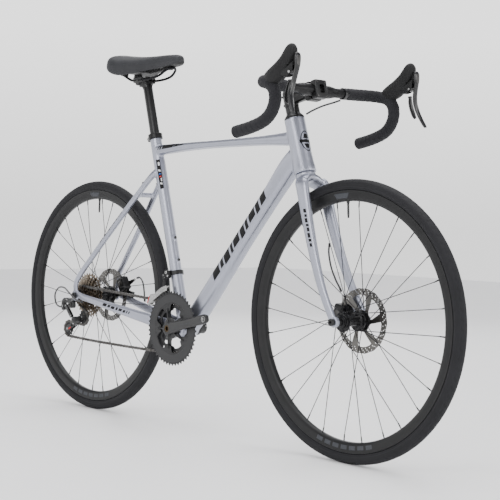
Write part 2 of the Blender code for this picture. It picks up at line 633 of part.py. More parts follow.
# ================================================================ saddle
def build_seat():
    post = rod("seatpost", on_seat(425), on_seat(723), 13.6, "black", n=16)
    head = box("cut_post_head", (-310, 0, 974.0), (42, 56, 20), bevel=3.0)
    join(post, head)
    cut(post, rod("cut_post_bore", on_seat(415), on_seat(600), 11.6, n=12),
        *[rod("cut_rail_%d" % k, (-345, y, 974.6), (-280, y, 974.6), RAIL_R + 0.35, n=12)
          for k, y in enumerate((-RAIL_Y, RAIL_Y))])
    side = [(-376, 25, 992.5), (-360, 24, 984.5), (-343, 22.4, 976.5), (-331, RAIL_Y, 974.6), (-311, RAIL_Y, 974.6),
            (-288, RAIL_Y, 974.6), (-270, 22, 974.8), (-240, 21.6, 977), (-214, 21, 983), (-196, 18, 993),
            (-184, 11, 1000), (-180, 0, 1002.3)]
    path = side + [(x, -y, z) for x, y, z in reversed(side[:-1])]
    wire("saddle_rails", path, RAIL_R, "steel", smooth=False, res=1)
    rings = []
    for x, top, edge, bot, hw in ((-143.5, 1030, 1020, 1020.5, 6), (-149, 1035, 1014, 1014.5, 14),
                                  (-165, 1038.5, 1009, 1010, 18), (-205, 1040.5, 1005, 1007, 19.5),
                                  (-250, 1041, 1001, 1005, 24), (-290, 1042, 996, 1003, 37),
                                  (-325, 1045, 991, 1001, 53), (-360, 1049, 989, 1000, 66),
                                  (-390, 1053, 997, 1003, 71), (-410, 1053, 1012, 1014, 62),
                                  (-420, 1049, 1030, 1030.5, 40)):
        prof = [(0, top), (0.42, top - 1.2), (0.78, top - 6), (0.97, top - (top - edge) * 0.42),
                (1.0, edge + 3), (0.93, edge), (0.55, bot), (0, bot)]
        ring = [Vector((x, hw * f, z)) for f, z in prof]
        ring += [Vector((x, -hw * f, z)) for f, z in reversed(prof[1:-1])]
        rings.append(ring)
    make("saddle", skin(rings), "soft")


# ================================================================ wheels
def build_wheel(tag, cx, hub_left, hub_right, old, rotor_y):
    centre = (cx, 0, AXLE_Z)
    steps = 30
    out = TYRE_R / math.cos(math.pi / steps)
    w = TYRE_W / 2
    tyre = [(out, 1.5), (out - 3.2, 9.4), (out - 13, w), (RIM_R + 1.6, 12.6),
            (RIM_R + 0.6, 9.3), (311, 9.1), (311, -9.1), (RIM_R + 0.6, -9.3), (RIM_R + 1.6, -12.6), (out - 13, -w), (out - 3.2, -9.4), (out, -1.5)]
    turned(tag + "_tyre", tyre, centre, Y_AXIS, steps, "rubber")
    rim = [(RIM_R, 12), (RIM_IN + 1, 8.5), (RIM_IN + 1, -8.5), (RIM_R, -12), (RIM_R, -9.8),
           (309, -9.8), (309, 9.8), (RIM_R, 9.8)]
    turned(tag + "_rim", rim, centre, Y_AXIS, steps, "black")
    # hub: flanges, shell, rotor seat and end faces, bored for the axle
    hl, hr = hub_left, hub_right
    end = old / 2
    if tag == "front":
        prof = [(6.4, -end), (10, -end), (10.5, hr - 9), (16, hr - 4), (25, hr - 1.6), (25, hr + 1.6),
                (15, hr + 5), (13.5, 0), (15, hl - 5), (25, hl - 1.6), (25, hl + 1.6), (19, hl + 5),
                (19, rotor_y - 1.4), (16.8, rotor_y - 1.4), (16.8, rotor_y + 3.5), (10, rotor_y + 3.5),
                (10, end), (6.4, end)]
    else:
        prof = [(6.4, -end), (8.6, -end), (8.6, -68.2), (16.2, -67.5), (16.2, hr - 4.4), (19, hr - 4.0),
                (24, hr - 1.6), (24, hr + 1.6), (17, hr + 5), (15.5, 6), (16.5, hl - 6), (25, hl - 1.6),
                (25, hl + 1.6), (19, hl + 5), (19, rotor_y - 1.4), (16.8, rotor_y - 1.4),
                (16.8, rotor_y + 3.5), (10, rotor_y + 3.5), (10, end), (6.4, end)]
    turned(tag + "_hub", prof, centre, Y_AXIS, 13, "black", twist=math.pi / 13)
    # spokes: 14 a side, crossing, each side one welded set where they touch
    each = SPOKES // 2
    step = 2 * math.pi / each
    for s, side, hy in ((1, "left", hl), (-1, "right", hr)):
        base = math.radians(87.4) if s > 0 else math.radians(87.4) + step / 2
        bars = []
        for k in range(each):
            turn = 1 if k % 2 == 0 else -1
            rim_a = base + k * step
            hub_a = rim_a - turn * 2 * step
            r0 = 27.6
            a = Vector((cx + r0 * math.cos(hub_a), hy, AXLE_Z + r0 * math.sin(hub_a)))
            r1 = RIM_IN - 1.6
            b = Vector((cx + r1 * math.cos(rim_a), s * 4.0, AXLE_Z + r1 * math.sin(rim_a)))
            lift = Y_AXIS * (0.45 * turn)
            bars.append(rod("cut_%s_spoke_%s_%d" % (tag, side, k), a + lift, b + lift, 1.3, n=3))
        first = bars[0]
        name = "%s_spokes_%s" % (tag, side)
        obj = bpy.data.objects.new(name, first.data.copy())
        PARTS.objects.link(obj)
        dress(obj, "steel")
        # a spoke is added next to one that it crosses, so the set stays one body
        order = sorted(range(1, each), key=lambda k: (min(k, each - k), k))
        join(obj, *[bars[k] for k in order])
        bpy.data.objects.remove(first, do_unlink=True)
    # rotor
    n_arm = 6
    holes = [circle(cx, AXLE_Z, 17.6, 14)]
    for k in range(n_arm):
        a0 = 2 * math.pi * k / n_arm
        win = []
        for f, r in ((0.12, 27), (0.5, 26), (0.80, 27), (0.98, 45), (1.06, 63), (0.7, 64), (0.38, 63), (0.30, 45)):
            a = a0 + f * 2 * math.pi / n_arm
            win.append((cx + r * math.cos(a), AXLE_Z + r * math.sin(a)))
        holes.append(win)
    plate(tag + "_rotor", circle(cx, AXLE_Z, ROTOR_R, 32), 1.8, rotor_y, "steel", holes,
          centre=(cx, AXLE_Z))


# ================================================================ drivetrain
def build_drivetrain():
    # cassette: a stepped stack of cogs with a groove where the chain runs
    prof = [(17.3, COG_Y0 + 1.0)]
    k_on = COGS.index(COG_T)
    for k, t in enumerate(COGS):
        y = COG_Y0 - k * COG_PITCH_Y
        r = pitch_r(t) + 1.8 if k != k_on else pitch_r(t) - 1.0
        if k in (k_on, k_on + 1):
            prof.append((pitch_r(COG_T) - 6.0, y + COG_PITCH_Y - 0.8 if k == k_on else y + 0.8))
        if k == k_on:
            prof[-1] = (pitch_r(COG_T) - 6.0, y + COG_PITCH_Y - 0.8)
            prof.append((pitch_r(COG_T) - 6.0, y + 0.8))
            prof.append((r, y + 0.8))
            prof.append((r, y - 0.8))
            prof.append((pitch_r(COG_T) - 6.0, y - 0.8))
            continue
        top = y + 1.0 if k == 0 else (y + 0.8 if k == k_on + 1 else y + COG_PITCH_Y - 0.8)
        prof.append((r, top))
        prof.append((r, y - 0.8))
    prof.append((17.3, COG_Y0 - 10 * COG_PITCH_Y - 0.8))
    turned("cassette", prof, (RX, 0, AXLE_Z), Y_AXIS, 15, "cassette")

    # crank arms. The right one carries the spider and the spindle
    ca, sa = unit(CRANK_ANGLE)
    for s, tag in ((-1, "right"), (1, "left")):
        dr = Vector((ca, 0, sa)) * (1 if s < 0 else -1)
        o = Vector((BB_X, 0, BB_Z))
        y0, y1 = (59.5, 68.5) if s < 0 else (59, 67)
        arm = loft([(o + dr * -10 + Y_AXIS * s * y0, 15, 6.0), (o + dr * 12 + Y_AXIS * s * y0, 16.5, 7.0),
                    (o + dr * 60 + Y_AXIS * s * (y0 + 2.5), 13, 6.6),
                    (o + dr * 120 + Y_AXIS * s * (y0 + 6.0), 12.2, 6.4),
                    (o + dr * CRANK_LEN + Y_AXIS * s * y1, 13.4, 6.4),
                    (o + dr * (CRANK_LEN + 12) + Y_AXIS * s * y1, 9.5, 5.6)], n=10, e=2.9)
        if s < 0:
            crank = rod("crank_arm_right", (BB_X, -65.5, BB_Z), (BB_X, 51, BB_Z), 12.0, "black", n=14,
                        origin=(BB_X, 0, BB_Z))
            boss = rod("cut_crank_boss_right", (BB_X, -66, BB_Z), (BB_X, -45.4, BB_Z), 17.5, n=16)
            core = rod("cut_spider_core", (BB_X, -52, BB_Z), (BB_X, -45.4, BB_Z), 30, n=16, radius2=24)
            web = []
            for ang in (40, 112, 184, 256, 328):
                c, q = unit(ang)
                r = Vector((c, 0, q))
                web.append(make("cut_spider_%d" % ang,
                                loft([(o + r * 12 + Y_AXIS * -47.6, 2.0, 2.2), (o + r * 14 + Y_AXIS * -47.6, 11, 2.2),
                                      (o + r * 38 + Y_AXIS * -46.0, 7.5, 2.6), (o + r * 47 + Y_AXIS * -43.4, 7, 1.4),
                                      (o + r * 60 + Y_AXIS * -43.4, 6, 1.4)], n=4, e=2.0)))
            join(crank, boss, core, make("cut_arm_right", arm), *web)
            cut(crank, rod("cut_spindle_bore", (BB_X, -80, BB_Z), (BB_X, 80, BB_Z), 8.5, n=12))
        else:
            crank = rod("crank_arm_left", (BB_X, 46, BB_Z), (BB_X, 67, BB_Z), 18.5, "black", n=20,
                        origin=(BB_X, 0, BB_Z))
            join(crank, make("cut_arm_left", arm))
            cut(crank, rod("cut_left_bore", (BB_X, 40, BB_Z), (BB_X, 52, BB_Z), 12.8, n=14),
                rod("cut_left_hole", (BB_X, 40, BB_Z), (BB_X, 80, BB_Z), 7.0, n=12))
        hole = o + dr * CRANK_LEN
        cut(crank, rod("cut_pedal_hole_" + tag, hole + Y_AXIS * s * 50, hole + Y_AXIS * s * 90, 7.1, n=14))

    def ring(name, teeth, y, tip, root, inner, tabs):
        p = pitch_r(teeth)
        out = toothed(teeth, p + tip, p + root, BB_X, BB_Z)
        loop = []
        for k in range(tabs):
            a0 = math.radians(40 + 72 * k)
            for f, r in ((-0.13, 49.2), (0.0, 48.6), (0.13, 49.2), (0.30, inner), (0.5, inner), (0.70, inner)):
                a = a0 + f * 2 * math.pi / tabs
                loop.append((BB_X + r * math.cos(a), BB_Z + r * math.sin(a)))
        return plate(name, out, 2.0, y, "black", [loop], centre=(BB_X, BB_Z))
    ring("chainring_outer", RING_OUT_T, RING_OUT_Y, 1.6, -3.6, 68.0, 5)
    ring("chainring_inner", RING_IN_T, RING_IN_Y, -1.0, -4.6, 55.5, 5)

    # chain: an H section band round ring, cog and pulleys
    c_ring, c_cog = Vector((BB_X, 0, BB_Z)), Vector((RX, 0, AXLE_Z))
    c_g, c_t = Vector((GUIDE[0], 0, GUIDE[1])), Vector((TENSION[0], 0, TENSION[1]))
    # circles in the order the chain meets them, with the sense of each turn
    order = [(c_ring, pitch_r(RING_IN_T), 1), (c_t, pitch_r(PULLEY_T), 1),
             (c_g, pitch_r(PULLEY_T), -1), (c_cog, pitch_r(COG_T), 1)]

    def tangent(a, ra, sa_, b, rb, sb_):
        """Tangent points from circle a to circle b, sense +1 is clockwise
        seen from the right side of the bike."""
        dx, dz = b.x - a.x, b.z - a.z
        dist = math.hypot(dx, dz)
        base = math.atan2(dz, dx)
        rr = (ra * sa_ - rb * sb_) / dist
        ang = base + math.acos(max(-1.0, min(1.0, rr)))
        na = Vector((math.cos(ang), 0, math.sin(ang)))
        return a + na * (ra * sa_), b + na * (rb * sb_)
    # going forward along the lower run is backwards travel, so the loop runs
    # top of ring, front of ring, bottom of ring, tension pulley, guide, cog
    legs = []
    for i in range(4):
        a, ra, s1 = order[i]
        b, rb, s2 = order[(i + 1) % 4]
        legs.append(tangent(a, ra, s1, b, rb, s2))
    pts = []
    for i in range(4):
        c, r, s1 = order[i]
        p_in = legs[i - 1][1]
        p_out = legs[i][0]
        a_in = math.atan2(p_in.z - c.z, p_in.x - c.x)
        a_out = math.atan2(p_out.z - c.z, p_out.x - c.x)
        sweep = (a_in - a_out) % (2 * math.pi) if s1 > 0 else (a_out - a_in) % (2 * math.pi)
        n = max(2, int(math.ceil(sweep / math.radians(26))))
        d = sweep / n
        rv = r / math.cos(d / 2)
        pts.append((c.x + r * math.cos(a_in), c.z + r * math.sin(a_in)))
        for k in range(n):
            a = a_in - s1 * d * (k + 0.5)
            pts.append((c.x + rv * math.cos(a), c.z + rv * math.sin(a)))
        pts.append((c.x + r * math.cos(a_out), c.z + r * math.sin(a_out)))
        q = legs[i][1]
        run = math.hypot(q.x - p_out.x, q.z - p_out.z)
        if run > 200:                      # a point at each end of the slant
            for x in ((-172.0, -452.0) if i == 0 else (-452.0, -172.0)):
                f = (x - p_out.x) / (q.x - p_out.x)
                pts.append((x, p_out.z + f * (q.z - p_out.z)))
    def lane(x):
        f = min(max((x + 172.0) / (-452.0 + 172.0), 0.0), 1.0)
        return RING_IN_Y + f * (CHAIN_REAR_Y - RING_IN_Y)
    h = 3.8
    sect = [(-2.75, -h), (-1.75, -h), (-1.75, -0.45), (1.75, -0.45), (1.75, -h), (2.75, -h),
            (2.75, h), (1.75, h), (1.75, 0.45), (-1.75, 0.45), (-1.75, h), (-2.75, h)]
    rings = []
    m = len(pts)
    for i in range(m):
        (x0, z0), (x1, z1), (x2, z2) = pts[i - 1], pts[i], pts[(i + 1) % m]
        d0 = Vector((x1 - x0, z1 - z0)).normalized()
        d1 = Vector((x2 - x1, z2 - z1)).normalized()
        bis = (d0 + d1).normalized()
        nx, nz = -bis.y, bis.x
        stretch = 1.0 / max(0.5, bis.dot(d1))
        rings.append([Vector((x1 + nx * v * stretch, lane(x1) + u, z1 + nz * v * stretch)) for u, v in sect])
    make("chain", skin(rings, closed=True), "chain")

    # rear derailleur
    top, bot = Vector(LINK_TOP), Vector(LINK_BOT)
    ld = (bot - top).normalized()
    nd = Vector((-ld.z, 0, ld.x))
    bm = bmesh.new()
    n = 6
    outline = []
    for k in range(n + 1):
        a = math.pi / 2 + math.pi * k / n
        outline.append(top + ld * (5.0 * math.cos(a)) + nd * (5.0 * math.sin(a)))
    for k in range(n + 1):
        a = -math.pi / 2 + math.pi * k / n
        outline.append(bot + ld * (5.0 * math.cos(a)) + nd * (5.0 * math.sin(a)))
    rings = [[p + Y_AXIS * dy for p in outline] for dy in (-5.0, 4.0)]
    make("rear_derailleur_link", skin(rings), "black", origin=top)
    bm.free()
    px, pz = CAGE_PIVOT
    knuckle = rod("rear_derailleur_knuckle", (px, -62.3, pz), (px, -85, pz), 8.6, "black", n=16,
                  origin=bot)
    cage_d = Vector((TENSION[0] - GUIDE[0], 0, TENSION[1] - GUIDE[1])).normalized()
    cage_n = Vector((-cage_d.z, 0, cage_d.x))
    g, t = c_g, c_t

    def capsule(r0, r1, waist):
        out = []
        for k in range(7):
            a = math.pi / 2 + math.pi * k / 6
            out.append(g + cage_d * (r0 * math.cos(a)) + cage_n * (r0 * math.sin(a)))
        for k in range(7):
            a = -math.pi / 2 + math.pi * k / 6
            out.append(t + cage_d * (r1 * math.cos(a)) + cage_n * (r1 * math.sin(a)))
        return [(p.x, p.z) for p in out]
    cage = plate("rear_derailleur_cage", capsule(8.0, 9.5, 0), 1.6, CHAIN_REAR_Y - 6.6, "black",
                 centre=CAGE_PIVOT)
    inner = plate("cut_cage_inner", capsule(7.0, 8.5, 0), 1.4, CHAIN_REAR_Y + 6.4, None)
    pins = [rod("cut_cage_pin_%d" % k, (p.x, CHAIN_REAR_Y - 7, p.z), (p.x, CHAIN_REAR_Y + 6.4, p.z), 2.4, n=10)
            for k, p in enumerate((g, t))]
    disc = rod("cut_cage_disc", (px, CHAIN_REAR_Y - 7.4, pz), (px, CHAIN_REAR_Y - 5.9, pz), 10.5, n=18)
    join(cage, disc, inner, *pins)
    for nm, c, ph in (("guide_pulley", g, 0.0), ("tension_pulley", t, 0.1)):
        p = pitch_r(PULLEY_T)
        plate(nm, toothed(PULLEY_T, p - 1.0, p - 4.6, c.x, c.z, ph), 2.2, CHAIN_REAR_Y, "plastic",
              [circle(c.x, c.z, 2.9, 10)], centre=(c.x, c.z))
    # front derailleur cage, an arc above the large ring with a tail behind
    def arc_plate(r0, r1, a0, a1, steps):
        up_ = [(BB_X + r1 * unit(a0 + (a1 - a0) * k / steps)[0], BB_Z + r1 * unit(a0 + (a1 - a0) * k / steps)[1])
               for k in range(steps + 1)]
        dn = [(BB_X + r0 * unit(a0 + (a1 - a0) * k / steps)[0], BB_Z + r0 * unit(a0 + (a1 - a0) * k / steps)[1])
              for k in range(steps + 1)]
        return up_, dn
    up_, dn = arc_plate(106.0, 121.0, 104, 131, 5)
    tail_out = [(-196.5, 366), (-206.5, 352), (-211, 337)]
    tail_in = [(-204, 333), (-193.5, 342), (-184, 349.5)]
    outline = up_ + tail_out + tail_in + list(reversed(dn))[1:]
    lane_y = lane(-195.0)
    fdc = plate("front_derailleur_cage", outline, 1.4, lane_y - 6.0, "grey", centre=(-151, 424))
    inner = plate("cut_fd_inner", outline, 1.4, lane_y + 5.6, None)
    c0, q0 = unit(118)
    bridge = box("cut_fd_bridge", (BB_X + 117.5 * c0, lane_y - 0.2, BB_Z + 117.5 * q0), (16, 11.6, 3.4),
                 turn_y=math.radians(-28))
    tail = rod("cut_fd_tail", (-205.4, lane_y - 6, 338.5), (-205.4, lane_y + 5.6, 338.5), 2.4, n=10)
    hang = box("cut_fd_hang", (-152.5, -34.5, 396), (11, 5.0, 34), turn_y=math.radians(0))
    join(fdc, inner, bridge, tail, hang)


# ================================================================ brakes
def build_brakes():
    for tag, cx, ang, ry, y0, y1 in (("front", FX, 168.0, ROTOR_F_Y, 28.5, 55.0),
                                     ("rear", RX, 29.0, ROTOR_R_Y, 41.0, 67.0)):
        c, s = unit(ang)
        mid = Vector((cx + 72 * c, (y0 + y1) / 2, AXLE_Z + 72 * s))
        turn = -math.radians(ang)
        body = box(tag + "_brake_caliper", mid, (34, y1 - y0, 44), "black", turn_y=turn, bevel=4.0)
        slot_mid = Vector((cx + 66 * c, ry, AXLE_Z + 66 * s))
        slot = box("cut_%s_slot" % tag, slot_mid, (36, 4.6, 60), turn_y=turn)
        if tag == "front":
            foot = box("cut_front_feet", (470.0, 51.0, 358), (26, 8, 54), turn_y=math.radians(-29), bevel=1.0)
            join(body, foot)
            cut(body, slot, box("cut_front_pad_gap", (489.5, 56, 361), (18.8, 40, 90), turn_y=math.radians(-29)))
        else:
            foot = box("cut_rear_feet", (-437, 61.5, 352), (46, 11, 18), turn_y=math.radians(10), bevel=1.0)
            join(body, foot)
            cut(body, slot)
        # the arm turns on the outer face
        oy = y1 + 0.4
        piv = Vector((cx + 74 * c, oy, AXLE_Z + 74 * s))
        to = Vector((437.5, 0, 400)) if tag == "front" else Vector((-421, 0, 394))
        dr = Vector((to.x - piv.x, 0, to.z - piv.z))
        arm = rod(tag + "_brake_arm", piv, piv + Y_AXIS * 5.0, 11.0, "steel" if tag == "front" else "grey",
                  n=16, origin=piv)
        bar = loft([(piv + Y_AXIS * 2.5 + dr * 0.1, 6.0, 2.2), (piv + Y_AXIS * 2.5 + dr * 0.75, 4.5, 2.0),
                    (piv + Y_AXIS * 2.5 + dr * 1.0, 3.6, 1.8)], n=8, e=3.5)
        join(arm, make("cut_%s_arm" % tag, bar))
    # housings held at both ends
    wire("front_brake_housing", [(407.5, 35.5, 528), (404, 37.5, 505), (406, 45, 470), (414, 53, 440),
                                 (424, 57.8, 420), (431.2, 58.0, 409)], 2.5, "rubber", 13)
    wire("rear_brake_housing", [(-410.5, 70.0, 399), (-396, 69.5, 401), (-377, 66, 388), (-362, 60, 364),
                                (-354, 56.3, 342), (-351, 55.0, 333)], 2.5, "rubber", 12)
    wire("rear_derailleur_housing", [(-470, -84.5, 325), (-497, -90, 333), (-524, -93.5, 350),
                                     (-556, -90.5, 364), (-590, -87, 362), (-613, -84, 341), (-611, -81.5, 315),
                                     (-596, -79.5, 305), (-579, -79, 305.5)], 2.5, "rubber", 14)


build_frame()
build_frame_fittings()
build_fork()
build_cockpit()
build_seat()
build_wheel("front", FX, 26.0, -27.0, FRONT_OLD, ROTOR_F_Y)
build_wheel("rear", RX, 34.0, -18.5, REAR_OLD, ROTOR_R_Y)
build_drivetrain()
build_brakes()
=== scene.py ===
"""Road bicycle: the finished surfaces, materials, studio and camera.

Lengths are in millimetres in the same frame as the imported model: origin on
the ground midway between the wheels, +X forward, +Y to the rider's left.
"""
import bpy
import bmesh
import math
import random
from mathutils import Vector, Matrix, noise
from mathutils.bvhtree import BVHTree


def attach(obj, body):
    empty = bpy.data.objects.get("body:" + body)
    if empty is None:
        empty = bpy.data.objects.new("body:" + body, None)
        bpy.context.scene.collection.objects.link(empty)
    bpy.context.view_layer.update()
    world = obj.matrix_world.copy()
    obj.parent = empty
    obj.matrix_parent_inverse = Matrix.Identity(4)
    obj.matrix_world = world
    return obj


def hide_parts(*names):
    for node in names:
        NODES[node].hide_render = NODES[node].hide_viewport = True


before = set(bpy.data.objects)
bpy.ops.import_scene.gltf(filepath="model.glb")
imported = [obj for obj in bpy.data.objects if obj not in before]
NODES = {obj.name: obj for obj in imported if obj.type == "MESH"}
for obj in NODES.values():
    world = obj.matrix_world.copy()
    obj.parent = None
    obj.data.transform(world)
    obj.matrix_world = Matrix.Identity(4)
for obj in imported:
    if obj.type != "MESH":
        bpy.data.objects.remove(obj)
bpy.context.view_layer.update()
random.seed(7)

MM = 0.001
AXLE_Z = 343.0
RX, FX = -517.5, 517.5
BB_X, BB_Z = -99.0, 277.5
CRANK_LEN, CRANK_ANGLE = 165.0, 13.5
HEAD_BOT, HEAD_LEN = (350.9, 700.1), 144.4
SEAT_TUBE_LEN = 562.0
BAR_X, BAR_Z = 379.0, 905.5
PITCH = 12.7
COGS = (32, 28, 25, 22, 20, 18, 16, 14, 13, 12, 11)
COG_Y0, COG_STEP = -26.35, 3.95
RING_IN_Y, RING_OUT_Y = -40.0, -46.6
CHAIN_REAR_Y = COG_Y0 - COG_STEP * 7
GUIDE, TENSION = (-505.0, 278.0), (-577.0, 239.0)
CAGE_PIVOT = (-517.0, 271.5)
LINK_TOP = Vector((-556.0, -80.0, 310.0))
LINK_BOT = Vector((-529.0, -80.0, 281.0))
Y = Vector((0.0, 1.0, 0.0))
Z = Vector((0.0, 0.0, 1.0))
X = Vector((1.0, 0.0, 0.0))


def unit(deg):
    return math.cos(math.radians(deg)), math.sin(math.radians(deg))


_c, _s = unit(72.4)
HEAD_UP = Vector((-_c, 0.0, _s))
_c, _s = unit(74.0)
SEAT_UP = Vector((-_c, 0.0, _s))


def on_head(t, ahead=0.0, y=0.0):
    return Vector((HEAD_BOT[0], y, HEAD_BOT[1])) + HEAD_UP * t + Vector((HEAD_UP.z, 0, -HEAD_UP.x)) * ahead


def on_seat(s, ahead=0.0, y=0.0):
    return Vector((BB_X, y, BB_Z)) + SEAT_UP * s + Vector((SEAT_UP.z, 0, -SEAT_UP.x)) * ahead


def pitch_r(teeth):
    return PITCH / (2.0 * math.sin(math.pi / teeth))


# ---------------------------------------------------------------- geometry
def finish_mesh(name, bm, mat, body, angle=35.0, covers=()):
    """Make a piece from a bmesh in millimetres and put it on its body."""
    bmesh.ops.recalc_face_normals(bm, faces=bm.faces)
    bmesh.ops.scale(bm, vec=(MM, MM, MM), verts=bm.verts)
    me = bpy.data.meshes.new(name)
    bm.to_mesh(me)
    bm.free()
    me.shade_smooth()
    me.set_sharp_from_angle(angle=math.radians(angle))
    obj = bpy.data.objects.new(name, me)
    bpy.context.scene.collection.objects.link(obj)
    me.materials.append(mat)
    if body:
        settle(obj, body, covers)
    return obj


def settle(obj, body, covers=()):
    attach(obj, body)
    if covers:
        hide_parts(*covers)
    return obj


def merged(bms):
    """One bmesh from several."""
    out = bmesh.new()
    for b in bms:
        me = bpy.data.meshes.new("tmp")
        b.to_mesh(me)
        b.free()
        out.from_mesh(me)
        bpy.data.meshes.remove(me)
    return out


def skin(rings, closed=False, cap=True, around=True):
    bm = bmesh.new()
    vs = [[bm.verts.new(p) for p in r] for r in rings]
    n = len(vs[0])
    pairs = list(zip(vs[:-1], vs[1:]))
    if closed:
        pairs.append((vs[-1], vs[0]))
    for a, b in pairs:
        for i in range(n if around else n - 1):
            j = (i + 1) % n
            bm.faces.new((a[i], a[j], b[j], b[i]))
    if cap and not closed:
        bm.faces.new(vs[0])
        bm.faces.new(vs[-1])
    return bm


def frames(path, first=None):
    pts = [Vector(p) for p in path]
    ref = Vector(first) if first is not None else Y.copy()
    out = []
    for i, p in enumerate(pts):
        t = (pts[min(i + 1, len(pts) - 1)] - pts[max(i - 1, 0)]).normalized()
        side = (ref - t * ref.dot(t)).normalized()
        out.append((p, t, side, t.cross(side)))
        ref = side
    return out


def superring(centre, side, up, hb, hn, n=32, e=2.0, turn=0.5):
    ring = []
    for k in range(n):
        a = 2 * math.pi * (k + turn) / n
        c, s = math.cos(a), math.sin(a)
        ring.append(centre + side * (math.copysign(abs(c) ** (2.0 / e), c) * hb)
                    + up * (math.copysign(abs(s) ** (2.0 / e), s) * hn))
    return ring


def smooth_rows(rows, sub):
    """Catmull-Rom through rows of numbers, sub steps between each pair."""
    p = [[2 * a - b for a, b in zip(rows[0], rows[1])]] + [list(r) for r in rows]
    p.append([2 * a - b for a, b in zip(rows[-1], rows[-2])])
    out = []
    for i in range(1, len(p) - 2):
        for k in range(sub):
            u = k / sub
            out.append([0.5 * (2 * b + (c - a) * u + (2 * a - 5 * b + 4 * c - d) * u * u
                               + (3 * b - a - 3 * c + d) * u ** 3)
                        for a, b, c, d in zip(p[i - 1], p[i], p[i + 1], p[i + 2])])
    out.append(list(rows[-1]))
    return out


def loft(stations, n=32, e=2.3, sub=4, side=(0, 1, 0), round_ends=0):
    """stations: (point, half height, half width[, exponent])."""
    rows = [(*st[0], st[1], st[2], st[3] if len(st) > 3 else e) for st in stations]
    rows = smooth_rows(rows, sub)
    fr = frames([r[:3] for r in rows], side)
    rings = []
    for (p, t, sd, up), r in zip(fr, rows):
        sd = (Vector(side) - t * Vector(side).dot(t)).normalized()
        up = t.cross(sd)
        rings.append(superring(p, sd, up, max(r[4], 0.2), max(r[3], 0.2), n, r[5]))
    if round_ends:
        for end, sign in ((0, -1), (-1, 1)):
            p, t = fr[end][0], fr[end][1]
            extra = []
            for k in range(1, 5):
                f = math.cos(math.pi / 2 * k / 5)
                g = math.sin(math.pi / 2 * k / 5)
                extra.append([p + (q - p) * f + t * (sign * round_ends * g) for q in rings[end]])
            rings = list(reversed(extra)) + rings if end == 0 else rings + extra
    return skin(rings)


def catmull(pts, step):
    fine = [Vector(q) for q in smooth_rows([list(p) for p in pts], 24)]
    dist = [0.0]
    for a, b in zip(fine[:-1], fine[1:]):
        dist.append(dist[-1] + (b - a).length)
    count = max(2, int(round(dist[-1] / step)) + 1)
    out, j = [], 0
    for k in range(count):
        want = dist[-1] * k / (count - 1)
        while j < len(dist) - 2 and dist[j + 1] < want:
            j += 1
        span = dist[j + 1] - dist[j]
        out.append(fine[j].lerp(fine[j + 1], min(max((want - dist[j]) / span if span else 0.0, 0.0), 1.0)))
    return out


def tube(pts, radius, n=14, step=3.0, smooth=True, first=None):
    """A round tube along pts. radius is a number or a function of 0 to 1."""
    path = catmull(pts, step) if smooth else [Vector(p) for p in pts]
    fr = frames(path, first if first is not None else (0.13, 0.9, 0.4))
    m = len(fr) - 1
    rings = []
    for i, (p, t, sd, up) in enumerate(fr):
        r = radius(i / m) if callable(radius) else radius
        rings.append(superring(p, sd, up, r, r, n))
    return skin(rings)


def rod(a, b, r, n=24, r2=None, bevel=0.0):
    """A cylinder or cone from a to b, with a turned edge when bevel is set."""
    a, b = Vector(a), Vector(b)
    t = (b - a).normalized()
    sd = t.orthogonal().normalized()
    up = t.cross(sd)
    r2 = r if r2 is None else r2
    length = (b - a).length
    st = [(0.0, r), (length, r2)]
    if bevel:
        st = [(0, r - bevel), (bevel * 0.3, r - bevel * 0.3), (bevel, r), (length - bevel, r2),
              (length - bevel * 0.3, r2 - bevel * 0.3), (length, r2 - bevel)]
    return skin([superring(a + t * d, sd, up, rr, rr, n) for d, rr in st])


def revolve(profile, centre, axis, n=96, twist=0.0):
    """A closed loop of (radius, height), or an open one from axis to axis."""
    ax = Vector(axis).normalized()
    sd = ax.orthogonal().normalized()
    up = ax.cross(sd)
    c = Vector(centre)
    on_axis = min(r for r, h in profile) < 1e-6
    bm = bmesh.new()
    rings = []
    for r, h in profile:
        if r < 1e-6:
            rings.append([bm.verts.new(c + ax * h)])
        else:
            rings.append([bm.verts.new(c + ax * h + (sd * math.cos(twist + 2 * math.pi * k / n)
                                                     + up * math.sin(twist + 2 * math.pi * k / n)) * r)
                          for k in range(n)])
    pairs = list(zip(rings[:-1], rings[1:]))
    if not on_axis:
        pairs.append((rings[-1], rings[0]))
    for a, b in pairs:
        for i in range(n):
            j = (i + 1) % n
            if len(a) == 1 and len(b) == 1:
                continue
            if len(a) == 1:
                bm.faces.new((a[0], b[j], b[i]))
            elif len(b) == 1:
                bm.faces.new((a[i], a[j], b[0]))
            else:
                bm.faces.new((a[i], a[j], b[j], b[i]))
    return bm


